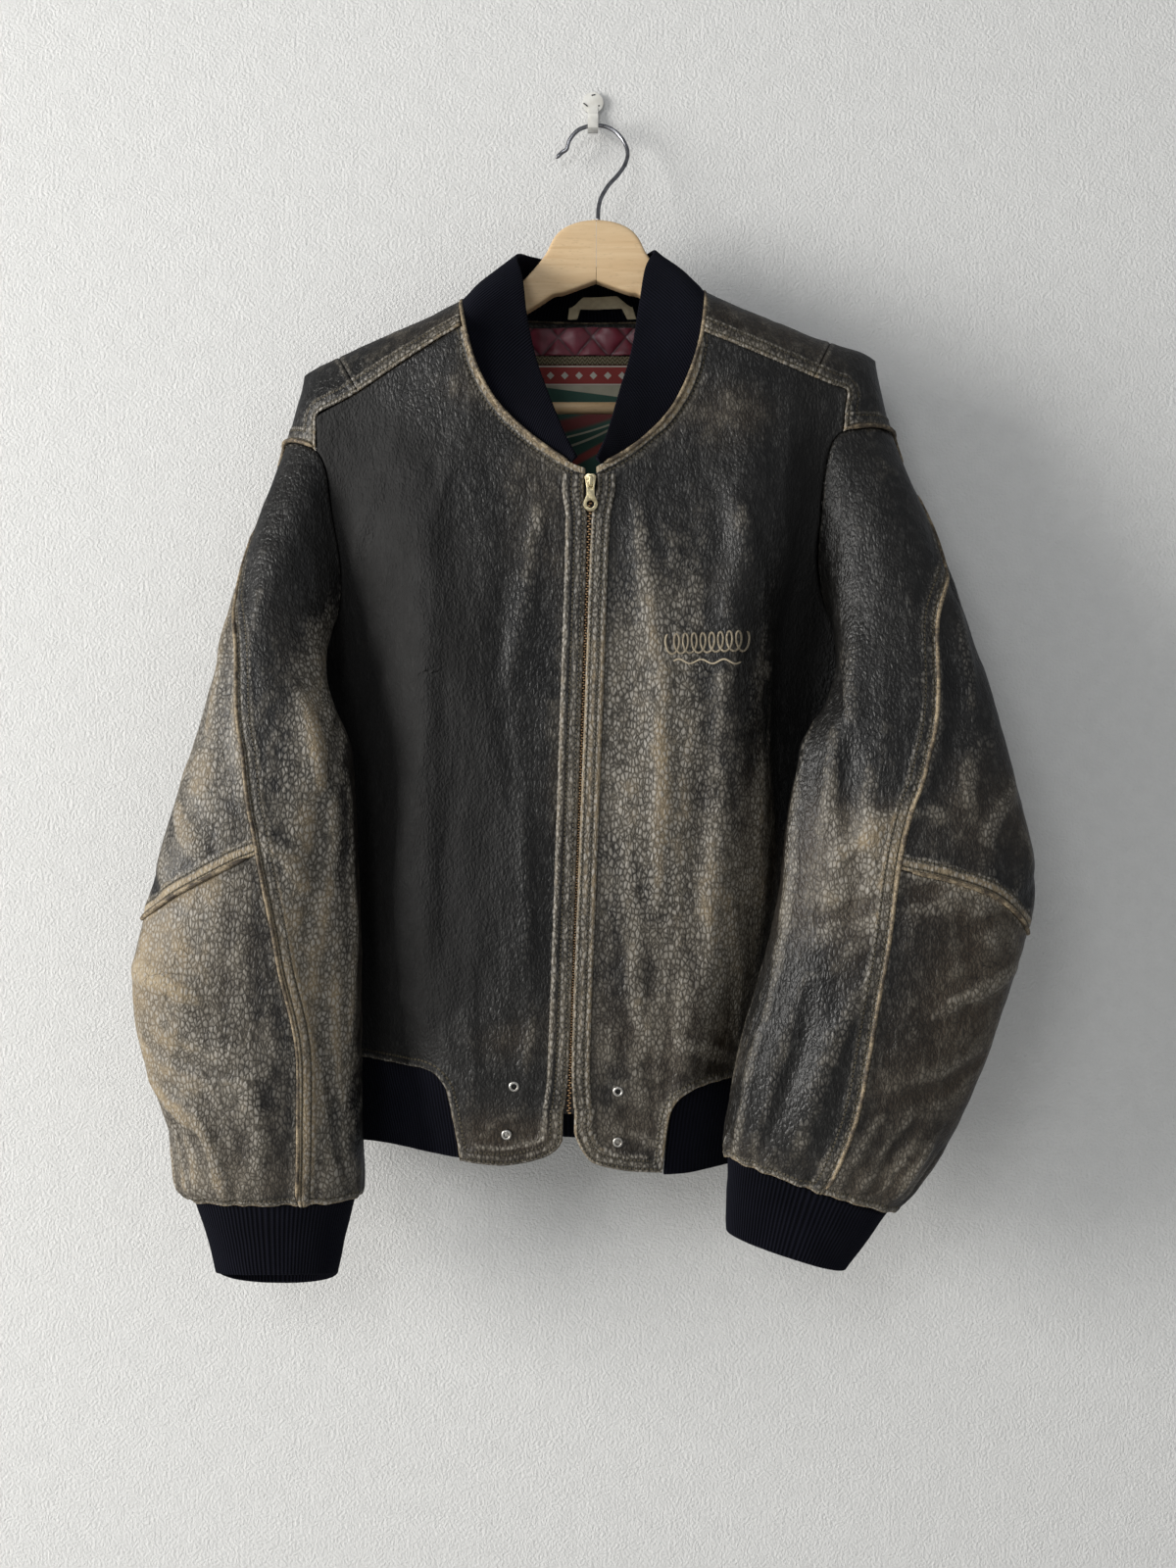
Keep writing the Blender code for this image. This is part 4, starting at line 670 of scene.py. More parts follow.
def even_columns(surface, shares, rows, steady=""):
    """The u shares at which each row's points lie at the given shares of its length. Where the
    rows' lengths differ suddenly, steady keeps the columns upright far from the end, or ends."""
    dense = np.linspace(0, 1, 240)
    u, v = np.meshgrid(dense, rows)
    run = arc_lengths(surface(u, v), 1)
    usual = min(np.median(run[:, -1]), run[:, -1].min() * 1.2)
    result = []
    for line in run:
        length = line[-1]
        places = shares * length
        if steady == "from start":
            places = usual * shares + (length - usual) * shares ** 5
        elif steady == "from middle":
            swing = 2 * shares - 1
            places = (length + usual * swing + (length - usual) * swing ** 5) / 2
        result.append(np.interp(places, line, dense))
    return np.array(result)


def edge_distance(places, line):
    """How far each point lies from a line of points, and how far along the line that is."""
    flat = places.reshape(-1, 3)
    run = arc_lengths(line, 0)
    apart = ((flat ** 2).sum(1)[:, None] + (line ** 2).sum(1)[None, :] - 2 * flat @ line.T)
    nearest = apart.argmin(axis=1)
    best = np.full(len(flat), np.inf)
    along = np.zeros(len(flat))
    for shift in (-1, 0):
        start = np.clip(nearest + shift, 0, len(line) - 2)
        span = line[start + 1] - line[start]
        size = np.maximum((span ** 2).sum(1), 1e-16)
        share = np.clip(((flat - line[start]) * span).sum(1) / size, 0, 1)
        gap = np.linalg.norm(flat - line[start] - span * share[:, None], axis=1)
        closer = gap < best
        best = np.where(closer, gap, best)
        along = np.where(closer, run[start] + share * np.sqrt(size), along)
    return best.reshape(places.shape[:-1]), along.reshape(places.shape[:-1])


def grid_normals(places, flip):
    along_u, along_v = np.gradient(places, axis=1), np.gradient(places, axis=0)
    return unit(np.cross(along_u, along_v)) * (-1 if flip else 1)


def waves(places, size, seed):
    """Smooth noise from -1 to 1 at each point. size is a wave's length along x, y and z."""
    scaled = places.reshape(-1, 3) / np.array(size) + seed * 17.3
    values = [noise.noise(Vector(place)) for place in scaled.tolist()]
    return np.array(values).reshape(places.shape[:-1])


def smoothed(values, times):
    """Values of a grid, each made the mean of its neighbours a number of times."""
    for _ in range(times):
        wide = np.pad(values, 1, mode="edge")
        values = (wide[1:-1, :-2] + wide[1:-1, 2:] + wide[:-2, 1:-1] + wide[2:, 1:-1]
                  + 2 * wide[1:-1, 1:-1]) / 6
    return values


def mesh_of(shape, name):
    mesh = bpy.data.meshes.new(name)
    shape.to_mesh(mesh)
    shape.free()
    return mesh


def linked(name, data):
    made = bpy.data.objects.new(name, data)
    bpy.context.scene.collection.objects.link(made)
    return made


def grid_mesh(name, places, attributes, scale, flip=False, close=False):
    """A mesh of a grid of points, with a UV map in metres and a value for each attribute."""
    rows, columns = places.shape[:2]
    shape = bmesh.new()
    bmesh.ops.create_grid(shape, x_segments=columns - 1, y_segments=rows - 1, size=0.5)
    if flip:
        bmesh.ops.reverse_faces(shape, faces=shape.faces[:])
    mesh = mesh_of(shape, name)
    flat = np.empty(len(mesh.vertices) * 3)
    mesh.vertices.foreach_get("co", flat)
    flat = flat.reshape(-1, 3)
    i = np.rint((flat[:, 0] + 0.5) * (columns - 1)).astype(int)
    j = np.rint((flat[:, 1] + 0.5) * (rows - 1)).astype(int)
    mesh.vertices.foreach_set("co", places[j, i].ravel())
    for label, values in attributes.items():
        layer = mesh.attributes.new(label, "FLOAT", "POINT")
        layer.data.foreach_set("value", np.broadcast_to(values, (rows, columns))[j, i].ravel())
    corners = np.empty(len(mesh.loops), dtype=np.int32)
    mesh.loops.foreach_get("vertex_index", corners)
    across, up = scale
    map_layer = mesh.uv_layers.new(name="UVMap")
    pairs = np.stack([across[j, i][corners], up[j, i][corners]], axis=1)
    map_layer.data.foreach_set("uv", pairs.ravel())
    if close:
        shape = bmesh.new()
        shape.from_mesh(mesh)
        bmesh.ops.remove_doubles(shape, verts=shape.verts[:], dist=1e-5)
        bmesh.ops.holes_fill(shape, edges=shape.edges[:], sides=0)
        shape.to_mesh(mesh)
        shape.free()
    mesh.shade_smooth()
    return mesh


PIECE_WORDS = {"worn_leather": "leather", "navy_rib_knit": "knit", "worn_edge": "trim",
               "pale_beech": "wood", "hook_steel": "wire", "old_nickel": "ring"}


def add_piece(name, mesh, look, slot, body=BODY_NAME, stands_for=()):
    """A piece at its place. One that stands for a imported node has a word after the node's name."""
    mesh.materials.append(look)
    if name in stands_for:
        name += "_" + PIECE_WORDS.get(slot, "cloth")
    piece = linked(name, mesh)
    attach(piece, body)
    if stands_for:
        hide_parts(*stands_for)
    return piece


def thicken(piece, wall):
    change = piece.modifiers.new("wall", "SOLIDIFY")
    change.thickness = wall
    change.offset = -1
    change.use_even_offset = False


def surface_area(places):
    one = np.cross(places[1:, :-1] - places[:-1, :-1], places[:-1, 1:] - places[:-1, :-1])
    two = np.cross(places[:-1, 1:] - places[1:, 1:], places[1:, :-1] - places[1:, 1:])
    return 0.5 * (np.linalg.norm(one, axis=-1).sum() + np.linalg.norm(two, axis=-1).sum())


SMALLEST_CUT = 0.0102       # the least width or length a sheet's cut is given; a shorter side can't be declared
LEAST_FILLED = 0.301        # the least share of its box that a cut's area is given; nor can a cut that fills less of its box


def declare_sheet(places):
    """Works out the cut of a sheet, its width, length and area, from its own surface before it is creased,
    and keeps none of them.
    """
    width = max(arc_lengths(places, 1)[:, -1].max(), SMALLEST_CUT)
    length = max(arc_lengths(places, 0)[-1].max(), SMALLEST_CUT)
    area = np.clip(surface_area(places), LEAST_FILLED * width * length, width * length)


# ---- relief of the leather: creases, fine waves, sewn edges ----
CREASE_DEPTH = 1.3
STRIP_SINK = 0.00015        # how much lower the strip round the hem lies than the placket
EDGE_CALM = 0.020           # how far from a sewn edge the leather creases freely
FINE_WAVES = [((0.050, 0.050, 0.120), 2.2), ((0.019, 0.019, 0.040), 1.1),
              ((0.0085, 0.0085, 0.016), 0.45)]       # size in metres, height in millimetres
WELT_WIDTH, WELT_RISE = 11.5, 0.85          # millimetres
LIP_WIDTH, LIP_ROW = 4.6, 6.6
NECK_END = {LEFT: 0.0995, RIGHT: 0.0815}    # where the neck's edge ends and the yoke's seam begins
BANDS = {"band": (3.5, 0.42), "worn band": (7.5, 1.0)}  # width of the bare part, how bare it is
GATHER = 2.1                # how much stronger a sleeve's hem is drawn in than a front's
HEM_ROW_SHIFT = STITCH_ROWS[1] - 0.0064     # brings a hem's one row onto a band's outer row


def crease_height(a, b, creases):
    """Height in metres of soft ridges and troughs. a and b are places in millimetres."""
    total = np.zeros(np.shape(a))
    for crease in creases:
        span = np.array((crease["x1"] - crease["x0"], crease["z1"] - crease["z0"]), dtype=float)
        length = np.hypot(*span)
        line = span / length
        t = np.clip(((a - crease["x0"]) * line[0] + (b - crease["z0"]) * line[1]) / length, 0, 1)
        off = (b - crease["z0"]) * line[0] - (a - crease["x0"]) * line[1]
        off = off - crease["bend"] * 4 * t * (1 - t)
        wander = 0.12 * crease["width"] * np.sin(t * 11 + crease["x0"])
        taper = np.sin(math.pi * t) ** 0.7
        width = crease["width"] * (0.65 + 0.35 * taper)
        total += CREASE_DEPTH * crease["height"] * MM * taper * bell(off - wander, width)
    return total


def welt_height(distance, run):
    """A turned band along a sewn edge, with a valley along each row of stitches."""
    d = distance / MM
    pucker = 1 + 0.22 * np.sin(run / MM * 0.62) * np.sin(run / MM * 0.23 + 1)
    height = WELT_RISE * pucker * smooth_step(d) * (1 - smooth_step((d - WELT_WIDTH) / 1.6))
    for row in STITCH_ROWS:
        height -= 0.42 * bell(d - row / MM, 0.85)
    return height * MM


def hem_height(distance, run, pull=1.0):
    """A folded hem: thick and rounded at the edge, drawn in along one row of stitches."""
    d, r = distance / MM, run / MM
    pucker = 0.35 * np.sin(r * 0.41 + d * 0.03) + 0.25 * np.sin(r * 0.19 + 2)
    pucker += (pull - 1) * 0.8 * np.sin(r * 0.33 + 1.3 * np.sin(r * 0.11) - d * 0.05)
    height = 1.0 * (1 - smooth_step((d - 5.6) / 2.6)) - 0.5 * bell(d - 6.4, 1.0)
    height += pucker * (1 - smooth_step((d - 2) / (16 * pull)))
    height -= 1.5 * np.clip(1 - d / 1.3, 0, 1) ** 2
    return height * MM


def seam_height(distance):
    """Where two panels meet: both edges turn in."""
    d = distance / MM
    return (-0.9 * np.clip(1 - d / 1.3, 0, 1) ** 2 + 0.35 * bell(d - 3.2, 1.6)) * MM


def lip_height(distance):
    """The neck's edge: a flat rolled band of bare leather, with one row of stitches below it."""
    d = distance / MM
    height = 1.1 * (1 - smooth_step((d - LIP_WIDTH) / 1.4)) - 0.55 * bell(d - LIP_ROW, 0.9)
    return height * MM


def strip_relief(inner, outer, along):
    """Two rounded ridges with a row of stitches between them and one beside the inner edge."""
    near = np.minimum(inner, outer) / MM
    pucker = 1 + 0.25 * np.sin(along / MM * 0.55) * np.sin(along / MM * 0.21)
    height = 0.9 * pucker * smooth_step(near / 1.6) - 0.5 * np.clip(1 - near / 1.2, 0, 1)
    for row in STITCH_ROWS:
        height -= 0.6 * bell(inner / MM - row / MM, 0.95)
    rub = 0.95 * bell(inner / MM - 0.8, 1.4) + 0.62 * bell(inner / MM - 6.2, 2.2)
    rub += 0.80 * bell(outer / MM - 1.6, 2.2) - 0.1
    return height * MM, rub


def hem_rub(distance):
    d = distance / MM
    return 1.1 * bell(d, 2.4) + 0.30 * bell(d - 4, 3)


# Each kind of edge gives four grids: its height, how rubbed it is, the place across its stitch
# rows and the place along them.
def seam_edge(base, line):
    distance, along = edge_distance(base, line)
    rub = 0.30 * bell(distance / MM - 2.4, 1.8)
    return seam_height(distance), rub, np.full_like(distance, NO_STITCH), along


def band_edge(base, line, kind):
    distance, along = edge_distance(base, line)
    d = distance / MM
    width, bare = BANDS[kind]
    rub = 0.40 * bell(d - 1.2, 1.5) + 0.28 * bell(d - 6.2, 2.6) + 0.5 * bell(d - 11.4, 1.3)
    rub += bare * (1 - smooth_step((d - width) / 2.5))
    return welt_height(distance, along), rub, distance, along


def gathered_hem(base, line):
    distance, along = edge_distance(base, line)
    height = hem_height(distance, along, GATHER)
    return height, hem_rub(distance), distance + HEM_ROW_SHIFT, along


def faced_hem(base, line):
    """The strip beside the zip goes on round the front's rounded corner to the rib; beyond it the
    hem is rolled."""
    side = LEFT if line[:, 0].mean() < 0 else RIGHT
    beside_zip = base[:, 0][base[:, 0, 2] < (PLACKET_BOTTOM + 40) * MM][::-1]
    faced = side * line[:, 0] <= FACED_END[side]
    inner, along = edge_distance(base, np.concatenate([beside_zip, line[faced][1:]]))
    beyond, further = edge_distance(base, line[~faced])
    outer = PLACKET_WIDTH[side] - inner
    height, rub = strip_relief(inner, outer, along)
    rolled = beyond < inner
    below = 1 - smooth_step((base[..., 2] / MM - PLACKET_BOTTOM) / 1.5)
    on_strip = np.where(rolled, 0, below * smooth_step(outer / MM / 1.2) * (outer > 0))
    height = (height + PLACKET_LIFT - STRIP_SINK) * on_strip
    height += np.where(rolled, hem_height(beyond, further), 0)
    rub = rub * on_strip + np.where(rolled, hem_rub(beyond), 0)
    sewn = np.where(rolled, beyond + HEM_ROW_SHIFT, np.where(on_strip > 0.5, inner, NO_STITCH))
    return height, rub, sewn, np.where(rolled, further, along)


def neck_edge(base, line):
    """Beside the collar a rolled lip, and beyond the neck's corner a seam to the yoke."""
    along = edge_distance(base, line)[1]
    end = NECK_END[LEFT if line[:, 0].mean() < 0 else RIGHT]
    inside = np.abs(line[:, 0]) <= end
    lip = edge_distance(base, line[inside])[0]
    beyond = edge_distance(base, line[~inside])[0]
    height = np.where(lip < beyond, lip_height(lip), seam_height(beyond))
    d = lip / MM
    rub = 1.25 * (1 - smooth_step((d - LIP_WIDTH + 0.6) / 1.2)) + 0.25 * bell(d - 9, 3)
    sewn = np.where(d < LIP_ROW + 3, lip + STITCH_ROWS[0] - LIP_ROW * MM, NO_STITCH)
    return height, rub, sewn, along


EDGES = {"seam": seam_edge, "neck": neck_edge, "faced hem": faced_hem, "gathered hem": gathered_hem,
         "band": partial(band_edge, kind="band"), "worn band": partial(band_edge, kind="worn band")}


def relief(base, a, b, creases, wave, calm):
    """Listed creases and fine waves, before the edges are sewn."""
    fine = sum(waves(base, size, seed) * height * MM
               for seed, (size, height) in enumerate(FINE_WAVES, 1))
    height = crease_height(a, b, creases) + wave * fine
    return height if calm is None else height * calm(base)


def leather_panel(name, surface, step, edges, places_of, creases, spots, flip=False,
                  inner_step=None, wave=1.0, calm=None, lift=0.0, wall=LEATHER, profile=None,
                  steady=""):
    """A leather piece. edges: how it is sewn at u = 0, u = 1, v = 0 and v = 1."""
    across, up = mean_sizes(surface, 40, 40)
    fine = [PLAIN_LINES if kind in ("seam", "none") else FINE_LINES for kind in edges]
    u_lines = spacing(across, step, max(fine[:2], key=len))
    v_lines = spacing(up, inner_step or step, max(fine[2:], key=len))
    u = even_columns(surface, u_lines, v_lines, steady)
    v = np.repeat(v_lines[:, None], len(u_lines), axis=1)
    base = surface(u, v)
    lines = (base[:, 0], base[:, -1], base[0], base[-1])
    sewn_edges = [(EDGES[kind], line) for kind, line in zip(edges, lines) if kind != "none"]

    a, b = places_of(u, v, base)
    height = relief(base, a, b, creases, wave, calm)
    nearest = np.full(base.shape[:-1], NO_STITCH)
    for _, line in sewn_edges:
        nearest = np.minimum(nearest, edge_distance(base, line)[0])
    height *= 0.30 + 0.70 * smooth_step(nearest / EDGE_CALM)
    broad = smoothed(height, 14)
    wear_and_painted_light = np.clip((height - broad) / (0.45 * MM), -0.6, 1) * 0.30
    sewn = np.full(base.shape[:-1], NO_STITCH)
    run = np.zeros(base.shape[:-1])
    for edge, line in sewn_edges:
        extra, rub, across_rows, along = edge(base, line)
        height += extra
        wear_and_painted_light += rub
        closer = across_rows < sewn
        run = np.where(closer, along, run)
        sewn = np.where(closer, across_rows, sewn)
    if profile is not None:
        extra, rub, sewn, run = profile(base, lines)
        height += extra
        wear_and_painted_light += rub
    # The spots add wear and brown tone, and with them painted light: painted shade where rub and tone are
    # negative, painted sheen where the rub is strong.
    tone = np.zeros(base.shape[:-1])
    for spot in spots:
        near = np.exp(-((a - spot["x"]) / spot["across"]) ** 2 - ((b - spot["z"]) / spot["up"]) ** 2)
        wear_and_painted_light += spot["rub"] * near
        tone += spot["tone"] * near
    places = base + grid_normals(base, flip) * (height + lift)[..., None]
    scale = (arc_lengths(base, 1), arc_lengths(base, 0))
    mesh = grid_mesh(name, places, {"wear_and_painted_light": wear_and_painted_light, "tone": tone, "seam": sewn, "run": run}, scale, flip)
    piece = add_piece(name, mesh, LOOKS["leather"], "worn_leather", stands_for=(name,))
    thicken(piece, wall)
    declare_sheet(base)


# ---- materials ----
class Value:
    """A number in a material. The signs of arithmetic add its Math nodes."""

    def __init__(self, look, socket):
        self.look = look
        self.socket = socket

    def math(self, kind, *others):
        inputs = dict(enumerate((self,) + others))
        return self.look.node("ShaderNodeMath", {"operation": kind}, inputs)

    def __add__(self, other):
        return self.math("ADD", other)

    def __sub__(self, other):
        return self.math("SUBTRACT", other)

    def __rsub__(self, other):
        return self.look.node("ShaderNodeMath", {"operation": "SUBTRACT"}, {0: other, 1: self})

    def __mul__(self, other):
        return self.math("MULTIPLY", other)

    def __truediv__(self, other):
        return self.math("DIVIDE", other)

    __radd__ = __add__
    __rmul__ = __mul__

    def ramp(self, low, high):
        """0 at low, 1 at high, smooth between. The other way round where high is lower."""
        inputs = {"Value": self, "From Min": low, "From Max": high}
        return self.look.node("ShaderNodeMapRange", {"interpolation_type": "SMOOTHSTEP"}, inputs)

    def line(self, middle, width):
        """1 where the value is near the middle, 0 a width away."""
        return (self - middle).math("ABSOLUTE").ramp(width, width * 0.45)


class Look:
    """A material: its nodes, and what feeds its shader."""

    def __init__(self, name, **constants):
        self.material = bpy.data.materials.new(name)
        self.material.use_nodes = True
        self.tree = self.material.node_tree
        self.shader = self.tree.nodes["Principled BSDF"]
        for socket, value in constants.items():
            self.shader.inputs[socket.replace("_", " ")].default_value = value

    def node(self, kind, settings=(), inputs=(), output=0):
        made = self.tree.nodes.new(kind)
        for setting, value in dict(settings).items():
            setattr(made, setting, value)
        for socket, value in dict(inputs).items():
            if isinstance(value, Value):
                self.tree.links.new(value.socket, made.inputs[socket])
            else:
                made.inputs[socket].default_value = value
        return Value(self, made.outputs[output])

    def place(self, scale=(1, 1, 1), turn=(0, 0, 0)):
        """Object coordinates in metres, scaled and turned."""
        start = self.node("ShaderNodeTexCoord", output="Object")
        return self.node("ShaderNodeMapping", inputs={"Vector": start, "Scale": scale, "Rotation": turn})

    def attribute(self, name):
        return self.node("ShaderNodeAttribute", {"attribute_name": name}, output="Fac")

    def map_part(self, axis):
        """The piece's own UV map, in metres: X or Y."""
        start = self.node("ShaderNodeUVMap", {"uv_map": "UVMap"})
        return self.node("ShaderNodeSeparateXYZ", inputs={0: start}, output=axis)

    def cloudy(self, place, scale, detail=3.0, roughness=0.5, distortion=0.0):
        inputs = {"Vector": place, "Scale": scale, "Detail": detail, "Roughness": roughness,
                  "Distortion": distortion}
        return self.node("ShaderNodeTexNoise", inputs=inputs)

    def cells(self, place, scale):
        """How far a place is from the edge of its cell."""
        return self.node("ShaderNodeTexVoronoi", {"feature": "DISTANCE_TO_EDGE"},
                         {"Vector": place, "Scale": scale}, output="Distance")

    def swirled(self, place, scale, amount):
        """The place, pushed about by noise by up to an amount."""
        push = self.node("ShaderNodeTexNoise", inputs={"Vector": place, "Scale": scale, "Detail": 2.0},
                         output="Color")
        inputs = {0: push, 1: (amount, amount, amount), 2: place}
        return self.node("ShaderNodeVectorMath", {"operation": "MULTIPLY_ADD"}, inputs)

    def mix(self, share, one, two, kind="MIX"):
        one, two = (colour if isinstance(colour, Value) else (*colour, 1) for colour in (one, two))
        settings = {"data_type": "RGBA", "blend_type": kind}
        return self.node("ShaderNodeMix", settings, {0: share, 6: one, 7: two}, output=2)

    def feed(self, **inputs):
        for socket, value in inputs.items():
            self.tree.links.new(value.socket, self.shader.inputs[socket.replace("_", " ")])

    def raise_by(self, height):
        """Bumps the surface. The height is in millimetres."""
        inputs = {"Strength": 1.0, "Distance": MM, "Height": height}
        self.feed(Normal=self.node("ShaderNodeBump", inputs=inputs))

    def wave(self, place, period):
        """A sine from 0 to 1 along a place, period metres long."""
        return (place * (2 * math.pi / period)).math("SINE") * 0.5 + 0.5


CHARCOAL_DARK = (0.0046, 0.0043, 0.0040)
CHARCOAL = (0.0180, 0.0168, 0.0150)
BROWN = (0.052, 0.037, 0.023)
GREY = (0.094, 0.092, 0.086)
WARM_GREY = (0.185, 0.162, 0.124)
TAN = (0.270, 0.206, 0.124)
PALE_TAN = (0.430, 0.345, 0.222)
# The grey of a painted sheen on the grain's peaks.
RIDGE_SHEEN_GREY = (0.350, 0.325, 0.285)
THREAD = (0.085, 0.070, 0.042)
STITCH_LENGTH = 0.0034


def leather_look():
    look = Look("worn_leather", IOR=1.47, Specular_IOR_Level=0.38)
    place = look.place()
    upright = look.place(scale=(1, 1, 0.40))
    broad = look.cloudy(place, 7.5, 3)
    patch = look.cloudy(place, 26, 5, 0.58, 0.3)
    mottle = look.cloudy(place, 130, 4, 0.62)
    rubbed = look.cloudy(upright, 80, 4, 0.60, 0.5)
    crinkle = look.cloudy(upright, 190, 2, 0.5, 0.5)
    grain = look.cloudy(look.place(scale=(1, 1, 0.45)), 430, 2, 0.5, 0.3)
    pebble = look.cells(look.swirled(look.place(scale=(1, 1, 0.62)), 300, 0.0012), 330)
    web = look.cells(look.swirled(place, 60, 0.016), 62)
    wear_and_painted_light, tone = look.attribute("wear_and_painted_light"), look.attribute("tone")
    # Negative tone is painted shade: it darkens the colour and roughens the leather beside the sleeves and
    # in the armholes.
    shaded = tone.ramp(-0.05, -0.60)

    shade = (broad - 0.5) * 1.1 + (patch - 0.5) * 0.7 + 0.5
    colour = look.mix(shade.ramp(0.10, 0.95), CHARCOAL_DARK, CHARCOAL)
    warmth = tone * 1.1 + (broad - 0.5) * 1.2 + (patch - 0.5) * 0.4
    colour = look.mix(warmth.ramp(0.02, 0.90) * 0.85, colour, BROWN)
    ridge = crinkle.ramp(0.46, 0.68)
    worn_ridge = look.mix(warmth.ramp(0.0, 0.8), GREY, WARM_GREY)
    colour = look.mix(((grain + mottle + crinkle) / 3).ramp(0.47, 0.66) * 0.34, colour, worn_ridge)
    # rub holds the wear and the spots' painted light, so the grey, tan and pale tan below are wear in some
    # places and painted sheen or painted shade in others.
    rub = wear_and_painted_light + tone * 0.42 + (patch - 0.5) * 0.9 + (mottle - 0.5) * 0.7 + (rubbed - 0.5) * 0.5
    bare = rub.ramp(0.75, 1.45)
    colour = look.mix(rub.ramp(0.16, 1.00) * 0.72, colour, WARM_GREY)
    colour = look.mix(bare * 0.85, colour, TAN)
    colour = look.mix(rub.ramp(1.20, 1.9) * 0.7, colour, PALE_TAN)
    # Painted sheen: the grain's peaks are lighter where the wear and the spots' painted sheen are strong.
    lit_ridge = (pebble * 1.6 + grain * 0.5).ramp(0.36, 0.80) * wear_and_painted_light.ramp(0.08, 0.80)
    colour = look.mix(lit_ridge * 0.75, colour, RIDGE_SHEEN_GREY)
    creased = pebble.ramp(0.10, 0.0)
    colour = look.mix(creased * (0.62 - bare * 0.3), colour, CHARCOAL_DARK)
    lines = web.ramp(0.026, 0.0) * tone.ramp(0.40, 0.80) * patch.ramp(0.42, 0.60)
    colour = look.mix(lines * 0.6, colour, CHARCOAL_DARK)
    # Painted shade where the tone is negative.
    colour = look.mix(shaded * 0.8, colour, CHARCOAL_DARK)

    seam, run = look.attribute("seam"), look.attribute("run")
    row = seam.line(STITCH_ROWS[0], 0.0009).math("MAXIMUM", seam.line(STITCH_ROWS[1], 0.0009))
    dash = ((run / STITCH_LENGTH).math("FRACT") - 0.5).math("ABSOLUTE").ramp(0.42, 0.30)
    colour = look.mix(row * 0.8, colour, CHARCOAL_DARK)
    colour = look.mix(row * dash * 0.8, colour, THREAD)
    look.feed(Base_Color=colour)

    roughness = 0.43 + (patch - 0.5) * 0.26 + bare * 0.20 + (broad - 0.5) * 0.16 + row * 0.15
    look.feed(Roughness=roughness + shaded * 0.34)
    height = pebble.ramp(0.0, 0.34) * 0.32 + ridge * 0.30 + grain * 0.40 + rubbed * 0.6 + patch * 0.8
    height = height - lines * 0.25 + row * (dash * 0.55 - 0.35)
    look.raise_by(height)
    return look.material


def piping_look():
    look = Look("worn_edge", Roughness=0.62)
    place = look.place()
    patch = look.cloudy(place, 70, 5, 0.6)
    fine = look.cloudy(place, 420, 4, 0.6)
    crackle = look.cells(place, 520)
    colour = look.mix((patch + (fine - 0.5) * 0.6).ramp(0.34, 0.68), BROWN, TAN)
    colour = look.mix((patch * 0.6 + fine * 0.6).ramp(0.58, 0.80) * 0.8, colour, PALE_TAN)
    crack = crackle.ramp(0.06, 0.0)
    colour = look.mix(crack * 0.55, colour, CHARCOAL)
    look.feed(Base_Color=colour)
    look.raise_by(fine * 0.25 + patch * 0.3 - crack * 0.1)
    return look.material


NAVY = (0.0064, 0.0066, 0.0120)
NAVY_DEEP = (0.0009, 0.0010, 0.0020)
RIB_PITCH = 0.0024
KNIT_PITCH = 0.0017


def rib_look():
    look = Look("navy_rib_knit", Roughness=0.95, Sheen_Weight=0.03, Sheen_Roughness=0.5,
                Sheen_Tint=(0.45, 0.50, 0.75, 1), Specular_IOR_Level=0.08)
    across, up = look.map_part("X"), look.map_part("Y")
    rib = look.wave(across, RIB_PITCH)
    slant = (across / RIB_PITCH).math("FRACT") - 0.5
    loop = look.wave(up + slant.math("ABSOLUTE") * 0.0011, KNIT_PITCH)
    place = look.place()
    fuzz = look.cloudy(place, 1500, 3, 0.7)
    patch = look.cloudy(place, 22, 4)
    # The grooves between the ribs and between the knit loops are painted darker: painted shade. The fuzz
    # and patches are random tone.
    shade = rib * 0.55 + loop * 0.2 + fuzz * 0.35 + (patch - 0.5) * 0.7
    look.feed(Base_Color=look.mix(shade.ramp(0.15, 1.05), NAVY_DEEP, NAVY))
    look.raise_by(rib * 0.55 + loop * rib * 0.18 + fuzz * 0.25)
    return look.material


def quilt_look():
    look = Look("burgundy_quilting", Roughness=0.34, Sheen_Weight=0.25)
    place = look.place()
    weave = look.cloudy(look.place(scale=(1, 1, 0.2)), 2600, 2)
    patch = look.cloudy(place, 60, 3)
    seam = look.attribute("seam")
    colour = look.mix(patch.ramp(0.3, 0.7), (0.155, 0.014, 0.030), (0.275, 0.036, 0.066))
    colour = look.mix(seam.ramp(0.0012, 0.0002) * 0.65, colour, (0.016, 0.003, 0.006))
    look.feed(Base_Color=colour)
    look.raise_by(weave * 0.05 + patch * 0.5)
    return look.material


def braid_look():
    look = Look("woven_braid", Roughness=0.85)
    across, up = look.map_part("X"), look.map_part("Y")
    zigzag = ((across / 0.0042).math("FRACT") - 0.5).math("ABSOLUTE") * 0.0066
    stripe = look.wave(up + zigzag, 0.0034)
    fine = look.cloudy(look.place(), 1500, 3)
    colour = look.mix(stripe.ramp(0.35, 0.65), (0.095, 0.075, 0.036), (0.36, 0.31, 0.20))
    look.feed(Base_Color=look.mix(fine * 0.5, colour, (0.05, 0.04, 0.022)))
    look.raise_by(stripe * 0.35 + fine * 0.3)
    return look.material


CREAM = (0.555, 0.530, 0.405)
LABEL_RED = (0.330, 0.020, 0.020)
LABEL_GREEN = (0.010, 0.088, 0.064)
WHITE_LINE = (0.66, 0.63, 0.55)
PANEL_HEIGHT = 0.1195
DIAMOND_PITCH = 0.012


